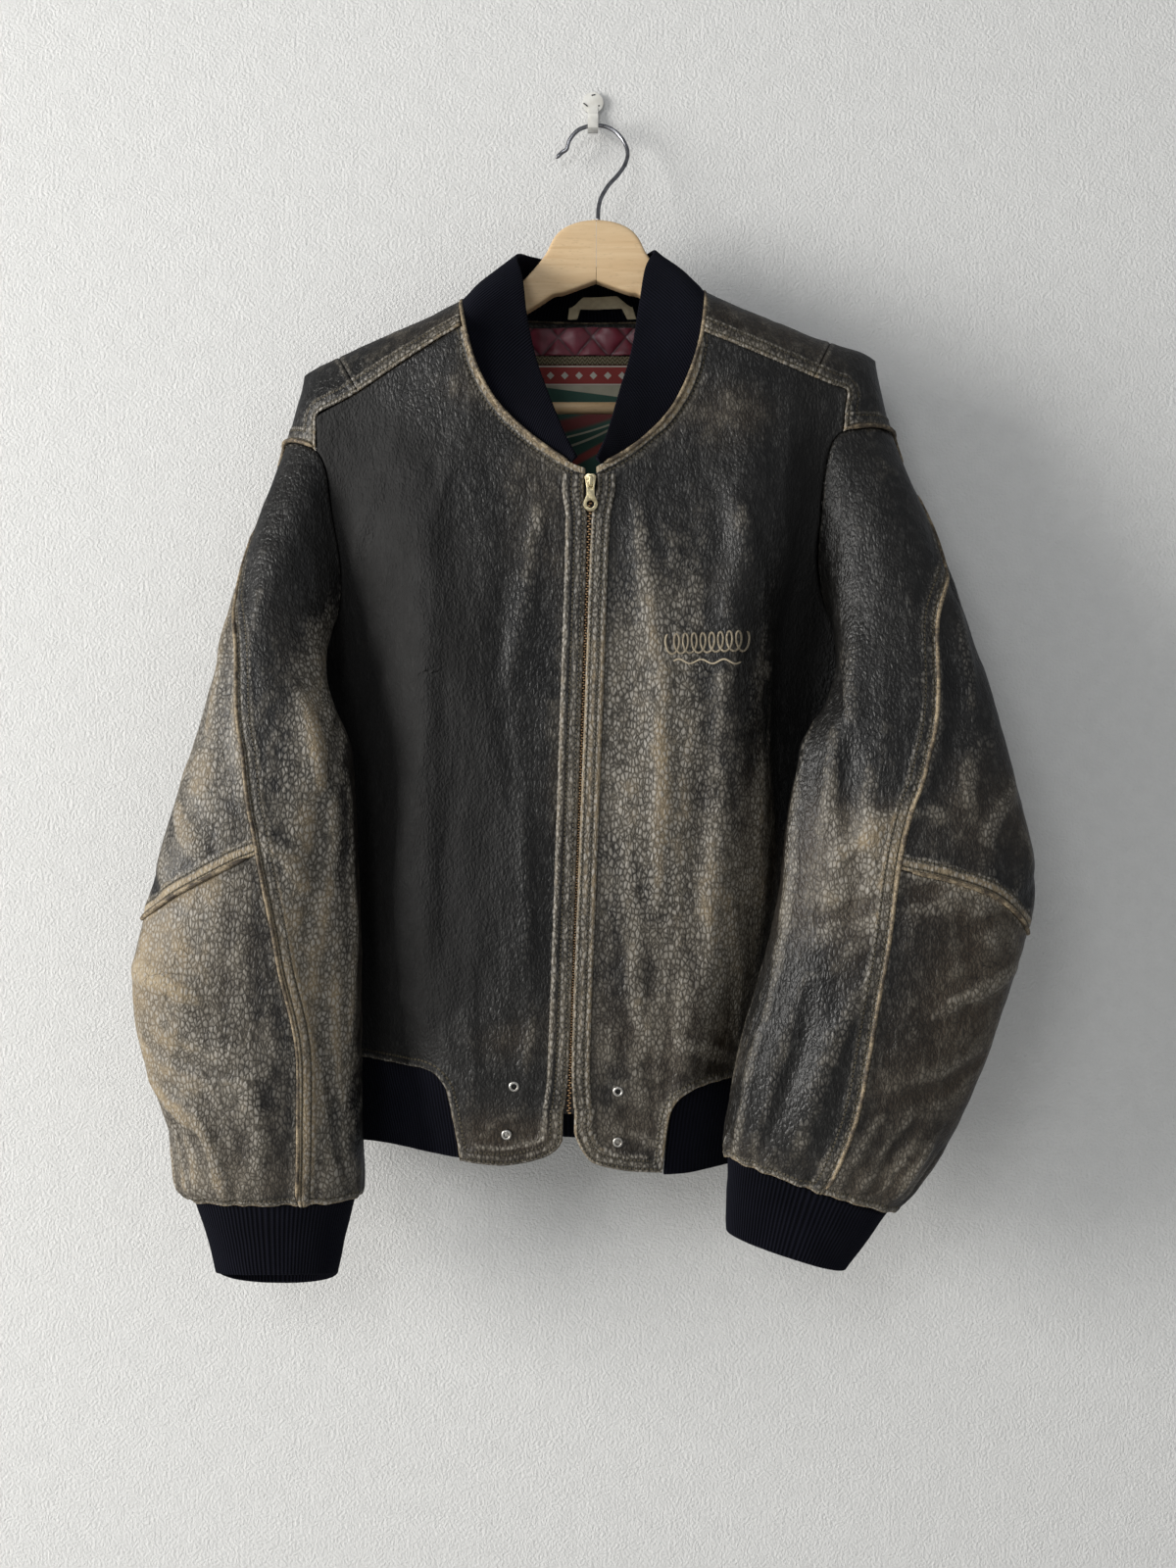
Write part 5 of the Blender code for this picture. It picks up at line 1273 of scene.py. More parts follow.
def printed_look():
    """Plain bands and sweeps of colour, with no letters."""
    look = Look("printed_lining", Roughness=0.72)
    across, up = look.map_part("X"), look.map_part("Y")
    down = PANEL_HEIGHT - up
    band = down.ramp(0.0172, 0.0168)
    edges = down.line(0.0010, 0.0009).math("MAXIMUM", down.line(0.0162, 0.0009))
    beside = ((across / DIAMOND_PITCH).math("FRACT") - 0.5).math("ABSOLUTE") * DIAMOND_PITCH
    diamond = beside + (down - 0.0086).math("ABSOLUTE")
    bow = (across - 0.063) * (across - 0.063)
    wedge = (down - across * 0.13).ramp(0.0155, 0.0149)
    stripe = (down + across * 0.30 + bow * 2).line(0.0640, 0.0075)
    trim = (down + across * 0.30 + bow * 2).line(0.0740, 0.0011).math(
        "MAXIMUM", (down + across * 0.42 + bow * 3).line(0.0880, 0.0014))
    slant = (down + across * 0.55).line(0.1085, 0.0050)
    weave = look.cloudy(look.place(), 1900, 3)
    patch = look.cloudy(look.place(), 55, 4)
    cream = look.mix(patch.ramp(0.3, 0.7), CREAM, (0.44, 0.415, 0.31))
    colour = look.mix(wedge, LABEL_GREEN, cream)
    colour = look.mix(stripe, colour, (0.185, 0.018, 0.022))
    colour = look.mix(trim, colour, cream)
    colour = look.mix(slant * 0.85, colour, LABEL_RED)
    colour = look.mix(band, colour, LABEL_RED)
    colour = look.mix(band * diamond.ramp(0.0034, 0.0030), colour, WHITE_LINE)
    colour = look.mix(edges, colour, WHITE_LINE)
    look.feed(Base_Color=look.mix(weave * 0.25, colour, (0.16, 0.14, 0.10)))
    look.raise_by(weave * 0.12 + patch * 0.8)
    return look.material


def tape_look(name, pale, dark, pitch):
    """A woven tape: fine threads both ways."""
    look = Look(name, Roughness=0.85)
    across, up = look.map_part("X"), look.map_part("Y")
    threads = look.wave(across, pitch) * 0.5 + look.wave(up, pitch) * 0.5
    patch = look.cloudy(look.place(), 240, 4)
    look.feed(Base_Color=look.mix((threads * 0.5 + patch * 0.6).ramp(0.2, 0.9), dark, pale))
    look.raise_by(threads * 0.12 + patch * 0.15)
    return look.material


def metal_look(name, colour, tarnish, roughness=0.30):
    look = Look(name, Metallic=1.0)
    place = look.place()
    patch = look.cloudy(place, 210, 5, 0.6)
    scratch = look.cloudy(look.place(scale=(1, 1, 0.12)), 2200, 3)
    look.feed(Base_Color=look.mix(patch.ramp(0.42, 0.72), colour, tarnish))
    look.feed(Roughness=roughness + patch * 0.22 + scratch * 0.08 - 0.1)
    look.raise_by(scratch * 0.012 + patch * 0.02)
    return look.material


def wood_look():
    look = Look("pale_beech", Roughness=0.5)
    grain = look.cloudy(look.place(scale=(0.07, 1, 1)), 240, 5, 0.55, 0.6)
    rays = look.cloudy(look.place(scale=(0.25, 1, 1)), 900, 3)
    broad = look.cloudy(look.place(scale=(0.3, 1, 1)), 14, 3)
    colour = look.mix(grain.ramp(0.30, 0.70), (0.745, 0.530, 0.300), (0.640, 0.420, 0.212))
    colour = look.mix(rays.ramp(0.58, 0.72) * 0.35, colour, (0.38, 0.24, 0.115))
    look.feed(Base_Color=look.mix(broad.ramp(0.35, 0.65) * 0.3, colour, (0.76, 0.63, 0.43)))
    look.feed(Roughness=0.42 + grain * 0.2)
    look.raise_by(grain * 0.05 + rays * 0.04)
    return look.material


def plastic_look():
    look = Look("white_plastic", Roughness=0.38)
    patch = look.cloudy(look.place(), 160, 4)
    look.feed(Base_Color=look.mix(patch.ramp(0.35, 0.75), (0.76, 0.75, 0.70), (0.66, 0.64, 0.58)))
    look.raise_by(patch * 0.05)
    return look.material


def embroidery_look():
    look = Look("beige_thread", Roughness=0.6)
    across, up = look.map_part("X"), look.map_part("Y")
    threads = look.wave(up + across * 0.6, 0.0007)
    look.feed(Base_Color=look.mix(threads, (0.36, 0.29, 0.19), (0.66, 0.57, 0.42)))
    look.raise_by(threads * 0.25)
    return look.material


LOOKS = {
    "leather": leather_look(),
    "edge": piping_look(),
    "rib": rib_look(),
    "quilt": quilt_look(),
    "braid": braid_look(),
    "print": printed_look(),
    "loop": tape_look("cream_loop", (0.80, 0.71, 0.50), (0.50, 0.41, 0.25), 0.0008),
    "zip_tape": tape_look("dark_zip_tape", (0.030, 0.026, 0.022), (0.008, 0.007, 0.006), 0.0009),
    "thread": embroidery_look(),
    "brass": metal_look("pale_brass", (0.76, 0.66, 0.42), (0.52, 0.43, 0.25)),
    "copper": metal_look("worn_copper_teeth", (0.80, 0.52, 0.28), (0.36, 0.21, 0.11), 0.34),
    "nickel": metal_look("old_nickel", (0.60, 0.58, 0.54), (0.30, 0.28, 0.25), 0.32),
    "dark_hole": metal_look("snap_hole", (0.05, 0.05, 0.05), (0.02, 0.02, 0.02), 0.6),
    "steel": metal_look("hook_steel", (0.34, 0.34, 0.36), (0.16, 0.16, 0.17), 0.20),
    "wood": wood_look(),
    "plastic": plastic_look(),
}


# ---- creases, and spots of wear, brown tone, painted shade and painted sheen. Fronts, yokes and back: x and z. Sleeves: angle times 1.4, and z ----
ANGLE_MM = 1.4              # millimetres round a sleeve for a degree


def crease_rows(rows):
    return rows_of("x0 z0 x1 z1 bend width height", rows)


def spot_rows(rows):
    return rows_of("x z across up rub tone", rows)


FRONT_CREASES = {LEFT: crease_rows([
    (-42, -345, -74, -530, 5, 9, 1.7),
    (-96, -300, -158, -480, -8, 11, 2.2),
    (-118, -320, -196, -540, 8, 10, -2.4),
    (-150, -285, -212, -440, 5, 9, 1.8),
    (-70, -420, -60, -600, -4, 8, -1.4),
    (-128, -440, -142, -640, 4, 10, 1.9),
    (-58, -560, -50, -800, 5, 8, 1.5),
    (-104, -560, -116, -800, -6, 10, -2.0),
    (-152, -600, -166, -790, 5, 9, 1.8),
    (-196, -540, -216, -770, -6, 9, 2.0),
    (-238, -580, -243, -780, 3, 8, -1.6),
    (-34, -690, -62, -830, 4, 7, 1.4),
    (-180, -716, -104, -792, 6, 8, 1.5),
    (-88, -660, -92, -864, -4, 7, 1.3),
    (-216, -660, -150, -740, -5, 8, -1.4),
    (-40, -812, -96, -852, 3, 6, 1.0)]),
    RIGHT: crease_rows([
    (34, -345, 58, -520, -4, 9, 1.6),
    (84, -300, 132, -470, 6, 11, 2.0),
    (110, -300, 88, -560, -8, 12, -2.2),
    (150, -285, 118, -540, 6, 11, 2.4),
    (176, -330, 146, -640, -7, 10, -3.0),
    (52, -470, 44, -700, 4, 9, 1.6),
    (86, -520, 78, -780, -5, 10, -1.9),
    (128, -540, 122, -800, 5, 9, 2.3),
    (158, -600, 168, -795, 4, 8, -2.0),
    (24, -620, 34, -830, 4, 8, 1.4),
    (64, -700, 58, -860, -4, 7, -1.2),
    (104, -660, 112, -804, 4, 7, 1.5),
    (196, -560, 208, -780, -5, 9, 1.8),
    (232, -560, 236, -780, 3, 9, -1.6),
    (60, -772, 130, -812, 5, 7, 1.4),
    (26, -846, 60, -868, 2, 6, 0.9)])}

# Spots with negative rub and tone paint shade: the left front beside the sleeve, and both armholes. The
# strong rub on the right front's middle paints sheen over some real wear.
FRONT_SPOTS = {LEFT: spot_rows([
    (-196, -360, 46, 150, -0.35, -0.95),
    (-140, -440, 52, 130, -0.45, -0.85),
    (-56, -370, 36, 60, 0.20, 0.30),
    (-24, -600, 13, 260, 0.22, 0.34),
    (-120, -620, 60, 130, -0.40, -0.75),
    (-140, -740, 60, 70, -0.25, -0.45),
    (-70, -770, 40, 26, 0.10, 0.55),
    (-60, -850, 60, 26, -0.04, 0.60),
    (-215, -700, 30, 140, -0.25, -0.60),
    (-165, -430, 40, 60, -0.05, 0.15),
    (-120, -270, 60, 22, 0.16, 0.40),
    (-225, -800, 60, 16, 0.10, 0.30)]),
    RIGHT: spot_rows([
    (168, -400, 24, 170, -0.25, -0.85),
    (-4, -640, 14, 240, 0.22, 0.30),
    (46, -770, 46, 60, 0.34, 0.35),
    (108, -690, 36, 90, 0.50, 0.50),
    (134, -600, 18, 90, 0.26, 0.50),
    (46, -510, 48, 110, 0.85, 0.05),
    (48, -640, 50, 90, 0.55, 0.15),
    (20, -850, 50, 26, 0.20, 0.45),
    (110, -290, 60, 30, 0.12, 0.35),
    (150, -770, 50, 40, 0.10, 0.50)])}

YOKE_SPOTS = spot_rows([
    (-150, -226, 90, 40, 0.14, 0.42),
    (140, -218, 90, 40, 0.14, 0.42)])

BACK_CREASES = crease_rows([
    (-60, -240, -96, -520, 8, 14, 3.0),
    (52, -236, 90, -500, -8, 14, 2.8),
    (-150, -270, -190, -460, 8, 12, -2.6),
    (150, -262, 196, -470, -8, 12, -2.8),
    (-206, -420, -150, -640, 9, 13, 2.8),
    (208, -430, 158, -660, -9, 13, 3.0),
    (-20, -420, -34, -760, 5, 12, -2.2),
    (40, -480, 52, -780, -6, 12, 2.4),
    (-96, -560, -84, -790, 6, 10, 2.2),
    (108, -600, 100, -792, -5, 10, -2.0),
    (-170, -680, -176, -794, 3, 9, 1.8),
    (176, -690, 170, -794, 3, 9, 1.8),
    (-220, -600, -228, -780, 4, 9, -2.0),
    (222, -560, 226, -780, -4, 9, 2.0),
    (0, -250, 8, -400, 4, 11, 1.6)])
BACK_SPOTS = spot_rows([
    (0, -330, 150, 60, 0.10, 0.30),
    (-120, -560, 80, 90, 0.06, 0.30),
    (110, -680, 90, 80, 0.10, 0.40),
    (0, -790, 240, 16, 0.14, 0.40)])

SLEEVE_CREASES = {LEFT: crease_rows([
    (14, -380, 60, -540, 8, 11, 3.0),
    (66, -400, 104, -580, -8, 11, -2.8),
    (150, -500, 206, -640, 9, 11, 3.0),
    (214, -520, 176, -700, -8, 10, -2.6),
    (116, -610, 186, -668, 5, 9, 2.2),
    (24, -590, 98, -640, 6, 9, 2.2),
    (4, -640, 88, -672, -6, 9, -2.2),
    (14, -716, 112, -744, 7, 9, 2.4),
    (40, -768, 132, -792, -6, 9, -2.0),
    (12, -800, 96, -846, 5, 9, 2.4),
    (156, -690, 160, -880, 6, 9, 2.6),
    (190, -700, 202, -880, -5, 9, -2.4),
    (84, -816, 96, -894, 3, 7, 2.2),
    (52, -830, 58, -895, 3, 6, -1.8),
    (128, -790, 122, -895, 3, 7, 2.0),
    (226, -560, 222, -780, 5, 10, 2.2),
    (16, -846, 20, -896, 2, 6, 1.8),
    (-70, -440, -26, -620, 8, 12, 2.8),
    (-80, -640, -20, -690, -6, 10, -2.4),
    (-76, -730, -10, -770, 6, 10, 2.4),
    (-56, -800, -40, -890, 4, 8, 2.0),
    (300, -560, 320, -700, 8, 11, 2.6),
    (280, -720, 330, -800, -7, 10, -2.2),
    (340, -780, 350, -890, 4, 9, 2.0)]),
    RIGHT: crease_rows([
    (20, -370, 72, -520, 8, 12, 2.6),
    (74, -390, 118, -600, -9, 12, -2.8),
    (140, -440, 196, -620, 9, 12, 3.2),
    (196, -470, 160, -700, -8, 11, -3.0),
    (230, -520, 206, -760, 7, 12, 3.0),
    (110, -590, 184, -640, 6, 9, 2.6),
    (96, -640, 190, -676, -6, 8, -2.4),
    (20, -570, 92, -622, 6, 9, 2.4),
    (0, -640, 96, -684, -5, 9, -2.2),
    (18, -716, 104, -752, 7, 9, 2.6),
    (30, -780, 112, -812, -6, 9, -2.2),
    (136, -700, 150, -866, 6, 10, 3.0),
    (176, -720, 178, -872, -5, 9, -3.0),
    (212, -740, 204, -874, 4, 9, 2.8),
    (244, -700, 240, -870, 4, 9, -2.2),
    (112, -820, 116, -884, 3, 7, 2.6),
    (84, -826, 84, -888, 3, 7, -2.6),
    (58, -836, 54, -892, 3, 7, 2.4),
    (28, -850, 24, -900, 3, 7, -2.2),
    (226, -842, 214, -905, 2, 4.0, -4.6),
    (234, -842, 224, -905, 2, 4.5, 3.4),
    (-70, -440, -20, -600, 8, 12, 2.8),
    (-76, -660, -14, -720, 6, 10, -2.4),
    (-70, -780, -20, -850, -6, 10, 2.4),
    (292, -560, 316, -720, 8, 11, 2.6),
    (276, -740, 330, -810, -7, 10, -2.2),
    (330, -790, 344, -880, 4, 9, 2.0)])}

# The strong rub on the left sleeve and on its under panel paints sheen over some real wear. The left under
# panel's spot with negative rub and tone paints shade at the armhole. The rub at the elbows is wear.
SLEEVE_SPOTS = {
    LEFT: {"upper": spot_rows([
        (50, -540, 90, 130, 0.75, 0.25), (20, -400, 40, 60, 0.35, 0.35), (90, -600, 30, 40, 0.20, 0.30),
        (-50, -520, 60, 120, 0.20, 0.35)]),
    "lower": spot_rows([
        (98, -652, 34, 22, 0.62, 0.70), (60, -700, 60, 50, 0.80, 0.70), (40, -800, 110, 90, 0.85, 0.60),
        (80, -880, 80, 18, 0.25, 0.60), (-50, -760, 60, 100, 0.16, 0.70)]),
    "under": spot_rows([
        (172, -650, 40, 150, 0.75, 0.06), (150, -840, 40, 70, 0.45, 0.35), (200, -880, 60, 18, 0.20, 0.40),
        (190, -360, 70, 60, -0.30, -0.80), (178, -500, 40, 80, 0.70, 0.05),
        (204, -750, 44, 120, 0.55, 0.10), (300, -700, 80, 160, 0.08, 0.35)])},
    RIGHT: {"upper": spot_rows([
        (70, -420, 60, 90, 0.02, 0.05), (30, -600, 60, 50, 0.12, 0.40), (96, -600, 26, 50, 0.14, 0.30),
        (-50, -520, 60, 120, 0.08, 0.35)]),
    "lower": spot_rows([
        (96, -654, 36, 24, 0.40, 0.65), (50, -700, 60, 50, 0.16, 0.65), (60, -800, 90, 80, 0.10, 0.60),
        (70, -876, 70, 20, 0.25, 0.55), (-50, -760, 60, 100, 0.12, 0.60)]),
    "under": spot_rows([
        (146, -622, 26, 30, 0.60, 0.60), (186, -640, 44, 60, 0.38, 0.40), (150, -700, 26, 60, 0.10, 0.30),
        (190, -860, 60, 22, 0.22, 0.40), (300, -700, 80, 160, 0.08, 0.35)])}}

SNAPS = Table("index x z lift", [
    (1, -61, -809, -0.5), (2, -67, -847, 0.6), (3, 19, -813, -0.6), (4, 19, -853, 0.6)])


def flat_places(u, v, base):
    return base[..., 0] / MM, base[..., 2] / MM


def still_places(base):
    """1 where the leather may crease, 0 under the plackets and the snaps."""
    zip_x = ZIP_LINE.at(base[..., 2] / MM, "x") * MM
    free = smooth_step((np.abs(base[..., 0] - zip_x) - 0.018) / 0.022)
    for _, x, z, _ in SNAPS.grid:
        apart = np.hypot(base[..., 0] - x * MM, base[..., 2] - z * MM)
        free = free * (1 - bell(apart, 0.011))
    return free


def add_fronts():
    for side in (LEFT, RIGHT):
        leather_panel("front_" + SIDE_NAMES[side], front_surface(side), 0.0025,
                      ("seam", "seam", "faced hem", "neck"), flat_places, FRONT_CREASES[side],
                      FRONT_SPOTS[side], flip=side == LEFT, calm=still_places, steady="from start")


def add_back():
    leather_panel("back", back_surface, 0.0042, ("seam", "seam", "band", "seam"), flat_places,
                  BACK_CREASES, BACK_SPOTS, calm=lambda base: 0.8, steady="from middle")


def add_yokes():
    for side in (LEFT, RIGHT):
        name, flip = SIDE_NAMES[side], side == LEFT
        leather_panel("yoke_" + name, yoke_surface(side), 0.0022, ("seam", "seam", "band", "band"),
                      flat_places, [], YOKE_SPOTS, flip=flip, wave=0.7)
        leather_panel("yoke_end_" + name, yoke_end_surface(side), 0.0020,
                      ("seam", "band", "band", "band"), flat_places, [], YOKE_SPOTS, flip=flip,
                      wave=0.6)


COIL_START, COIL_END = (57, -470), (117, -467)
COIL_TURNS = 9
COIL_WIDTH, COIL_HALF_HEIGHT = 7.0, 7.5
LINE_BELOW, LINE_INSET, LINE_SWING = 13, 4, 1.6


def add_embroidery():
    """A plain row of looped stitches on the right front, and a line below it."""
    def laid(x, z, name, radius):
        base = body_point(x * MM, z * MM, 1)
        outward = body_normals(x * MM, z * MM, np.ones(len(x)))
        height = relief(base, x, z, FRONT_CREASES[RIGHT], 1.0, still_places)
        path = base + outward * (height + radius * 0.4)[:, None]
        round_rod(name, path, outward, uneven(radius, path, 7), 8, LOOKS["thread"], "cream_loop")

    turn = np.linspace(0, 2 * math.pi * COIL_TURNS, COIL_TURNS * 36)
    share = turn / turn[-1]
    x = COIL_START[0] + (COIL_END[0] - COIL_START[0]) * share - COIL_WIDTH / 2 * np.sin(turn)
    z = COIL_START[1] + (COIL_END[1] - COIL_START[1]) * share + COIL_HALF_HEIGHT * np.cos(turn)
    laid(x, z, "embroidered_loops", 0.00085)
    share = np.linspace(0, 1, 90)
    x = COIL_START[0] + LINE_INSET + (COIL_END[0] - COIL_START[0] - 2 * LINE_INSET) * share
    z = COIL_START[1] - LINE_BELOW + LINE_SWING * np.sin(share * 19)
    laid(x, z, "embroidered_line", 0.00075)


SLEEVE_EDGES = {
    "upper": ("seam", "seam", "seam", "worn band"),
    "lower": ("seam", "seam", "seam", "gathered hem"),
    "under": ("band", "seam", "seam", "gathered hem")}


def add_sleeves():
    for side in (LEFT, RIGHT):
        for kind, edges in SLEEVE_EDGES.items():
            def places_of(u, v, base):
                angle = sleeve_places(side, kind, u, v)[0]
                return angle * ANGLE_MM, base[..., 2] / MM
            leather_panel("sleeve_%s_%s" % (kind, SIDE_NAMES[side]), sleeve_panel(side, kind), 0.0025,
                          edges, places_of, SLEEVE_CREASES[side], SLEEVE_SPOTS[side][kind],
                          flip=side == LEFT)


def placket_surface(side):
    """A strip beside the zip on the front's face, u outwards, v from top to bottom."""
    def surface(u, v):
        z = (PLACKET_TOP + v * (PLACKET_BOTTOM - PLACKET_TOP)) * MM
        out = PLACKET_START.at(z / MM, "out") * MM + u * PLACKET_WIDTH[side]
        return body_point(zip_edge(side, z) + side * out, z, 1)
    return surface


def placket_profile(base, lines):
    inner, along = edge_distance(base, lines[0])
    height, rub = strip_relief(inner, edge_distance(base, lines[1])[0], along)
    return height, rub, inner, along


def add_plackets():
    for side in (LEFT, RIGHT):
        leather_panel("placket_" + SIDE_NAMES[side], placket_surface(side), 0.0011, ("none",) * 4,
                      flat_places, [], FRONT_SPOTS[side], flip=side == RIGHT, wave=0.0,
                      inner_step=0.0035, lift=PLACKET_LIFT, wall=PLACKET_LEATHER,
                      profile=placket_profile)


# ---- rib knit: a band with an outer face, a round free edge and an inner face ----
def rib_band(name, surface, step, flip, free_edge, round_u=False):
    """free_edge is the v at which the band ends in a rounded fold: 0 or 1."""
    across, up = mean_sizes(surface, 90, 8)
    columns = np.linspace(0, 1, math.ceil(across / step) + 1)
    shares = np.linspace(0, 1, max(8, math.ceil(up / 0.0035)))
    v = shares if free_edge == 1 else 1 - shares
    grid_u, grid_v = np.meshgrid(columns, v)
    base = surface(grid_u, grid_v)
    turned = flip if free_edge == 1 else not flip
    normals = grid_normals(base, turned)
    if round_u:
        normals[:, 0] = normals[:, -1] = unit(normals[:, 0] + normals[:, -1])
    swell = (waves(base, (0.03, 0.03, 0.02), 5) + waves(base, (0.012, 0.012, 0.03), 6) * 0.4) * MM
    swell *= smooth_step(shares[:, None] * up / 0.012)
    if round_u:
        swell[:, -1] = swell[:, 0]
    outer = base + normals * swell[..., None]
    half = RIB_KNIT / 2
    ahead = unit(base[-1] - base[-3])
    core = outer[-1] - normals[-1] * half
    bends = [core + half * (normals[-1] * math.cos(turn) + ahead * math.sin(turn))
             for turn in np.linspace(0, math.pi, 9)[1:-1]]
    inner = (outer - normals * RIB_KNIT)[::-1]
    places = np.concatenate([outer, np.array(bends), inner, outer[:1]])
    u_map = np.repeat((columns * across)[None, :], len(places), axis=0)
    mesh = grid_mesh(name, places, {}, (u_map, arc_lengths(places, 0)), turned, close=True)
    piece = add_piece(name, mesh, LOOKS["rib"], "navy_rib_knit", stands_for=(name,))
    declare_sheet(base)
    return piece


CUFF_HANG = {LEFT: (0.005, -0.015), RIGHT: (0.0, 0.0)}      # how the free edge lies, front and back


def hanging_cuff(side):
    """The cuff with its free edge tipped: its front a little up and its back down."""
    surface = cuff_surface(side)
    front, back = CUFF_HANG[side]

    def tipped(u, v):
        places = surface(u, v)
        turn = np.sin(u * 2 * math.pi)
        places[..., 2] += np.where(turn > 0, turn * front, -turn * back) * v ** 1.5
        return places
    return tipped


def add_ribs():
    rib_band("collar", collar_surface, 0.0026, True, 1)
    rib_band("waistband", waistband_surface, 0.0030, True, 0)
    for side in (LEFT, RIGHT):
        rib_band("cuff_" + SIDE_NAMES[side], hanging_cuff(side), 0.0026, side == LEFT, 1, round_u=True)


# ---- lining: quilting, braid, a printed panel and a bare loop ----
LINING_LEFT, LINING_RIGHT = -65.6, 61.1
LINING_CLEAR = 0.0014
CAD_LEATHER = 0.0020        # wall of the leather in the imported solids
QUILT_WIDTH, QUILT_HEIGHT = 0.0285, 0.034
QUILT_MIDDLE = (-0.015, -0.202)


def lining_patch(name, low, high, look, slot, step, form=None):
    surface = back_patch(LINING_LEFT, LINING_RIGHT, low, high)
    columns = math.ceil((LINING_RIGHT - LINING_LEFT) * MM / step)
    rows = max(4, math.ceil((high - low) * MM / step))
    u, v = share_grid(columns, rows)
    base = surface(u, v)
    normals = -grid_normals(base, False)
    normals *= np.sign(-normals[..., 1:2])      # forwards, into the jacket
    height = np.zeros(u.shape)
    attributes = {}
    if form is not None:
        height, attributes = form(base)
    inward = CAD_LEATHER + LINING_CLEAR + LINING
    places = base + normals * (height + inward)[..., None]
    turned = grid_normals(places, False)[0, 0, 1] > 0
    scale = (u * (LINING_RIGHT - LINING_LEFT) * MM, v * (high - low) * MM)
    mesh = grid_mesh(name, places, attributes, scale, turned)
    piece = add_piece(name, mesh, look, slot, stands_for=(name,))
    thicken(piece, LINING)
    declare_sheet(base)
    return piece


def quilt_relief(base):
    """Diamonds, each puffed up between two slanting sets of stitched channels."""
    across = (base[..., 0] - QUILT_MIDDLE[0]) / QUILT_WIDTH + 0.5
    up = (base[..., 2] - QUILT_MIDDLE[1]) / QUILT_HEIGHT
    one, two = across + up, across - up
    gap_one, gap_two = (np.abs(np.sin(math.pi * line)) for line in (one, two))
    puff = 2.3 * MM * (gap_one * gap_two) ** 0.55
    channel = np.minimum(gap_one, gap_two) * 0.0042
    return puff + waves(base, (0.009, 0.009, 0.007), 8) * 0.35 * MM, {"seam": channel}


def soft_relief(base):
    return waves(base, (0.040, 0.040, 0.030), 9) * 0.7 * MM, {}


def loop_surface(u, v):
    """The hanging loop's place on the collar's inner face."""
    place = LOOP_START + u * (LOOP_END - LOOP_START)
    between = smooth_step((u - 0.13) / 0.05) * smooth_step((0.87 - u) / 0.05)
    low = LOOP_LOW + LOOP_GAP * between
    rise = smooth_step(u / 0.24) * smooth_step((1 - u) / 0.24)
    high = LOOP_EAR + (LOOP_HIGH - LOOP_EAR) * rise
    return collar_surface(place / COLLAR_LAST, low + v * (high - low))


def add_lining():
    lining_patch("lining_quilt", -217.5, -194, LOOKS["quilt"], "burgundy_quilting", 0.0009, quilt_relief)
    lining_patch("braid", -225, -218, LOOKS["braid"], "woven_braid", 0.0012)
    lining_patch("lining_panel", -345, -225.5, LOOKS["print"], "printed_lining", 0.0030, soft_relief)
    u, v = share_grid(80, 12)
    base = loop_surface(u, v)
    inward = -grid_normals(base, True)
    bow = np.sin(math.pi * u) * np.sin(math.pi * np.clip(v, 0, 1)) * 0.0008
    places = base + inward * (RIB_KNIT + 3 * GAP + LINING + bow)[..., None]
    mesh = grid_mesh("loop_label", places, {}, (arc_lengths(base, 1), arc_lengths(base, 0)), False)
    piece = add_piece("loop_label", mesh, LOOKS["loop"], "cream_loop", stands_for=("loop_label",))
    thicken(piece, LINING)
    declare_sheet(base)


# ---- round trim: piping, rods and wire ----
def round_rod(name, path, facing, radius, sides, look, slot, stands_for=()):
    """A rod along a path. facing holds directions away from what it lies on, a radius or several."""
    path = np.asarray(path, dtype=float)
    ahead = unit(np.gradient(path, axis=0))
    facing = np.broadcast_to(facing, path.shape)
    up = unit(facing - ahead * (facing * ahead).sum(-1, keepdims=True))
    side = np.cross(ahead, up)
    radius = np.broadcast_to(radius, len(path))
    turns = np.linspace(0, 2 * math.pi, sides + 1)
    rings = (path[:, None] + radius[:, None, None] * (np.cos(turns)[None, :, None] * up[:, None]
                                                     + np.sin(turns)[None, :, None] * side[:, None]))
    scale = (np.repeat((turns * float(radius.mean()))[None, :], len(path), axis=0),
             arc_lengths(rings, 0))
    mesh = grid_mesh(name, rings, {}, scale, True, close=True)
    return add_piece(name, mesh, look, slot, stands_for=stands_for)


def even_path(path, step):
    """The path with points an even step apart."""
    run = arc_lengths(path, 0)
    places = np.linspace(0, run[-1], max(8, int(run[-1] / step)))
    return np.stack([np.interp(places, run, path[:, axis]) for axis in range(3)], axis=-1)


def uneven(radius, path, seed):
    """A radius that swells and narrows a little along a path, and ends rounded."""
    swell = waves(path[:, None], (0.012, 0.012, 0.012), seed)[:, 0]
    count = np.arange(len(path))
    tip = np.minimum(count, count[::-1])
    close_in = np.sqrt(np.clip((tip + 0.4) / 3, 0, 1))
    return radius * (1 + 0.12 * swell) * close_in


PIPINGS = dict(armhole=0.0018, sleeve=0.0015, elbow=0.0018, neck=0.0016)
PIPING_SINK = 0.0006        # how far a piping lies in its seam
CORD_RISE = 0.0012          # how much further out the armhole's and the neck's lie


def body_normals(x, z, face):
    """Directions away from the body's front, or from its back where face is -1."""
    step = 0.0006
    across = body_point(x + step, z, face) - body_point(x - step, z, face)
    below = body_point(x, z - 2 * step, face)
    normal = np.cross(across, body_point(x, z, face) - below)
    return unit(normal) * face[..., None]


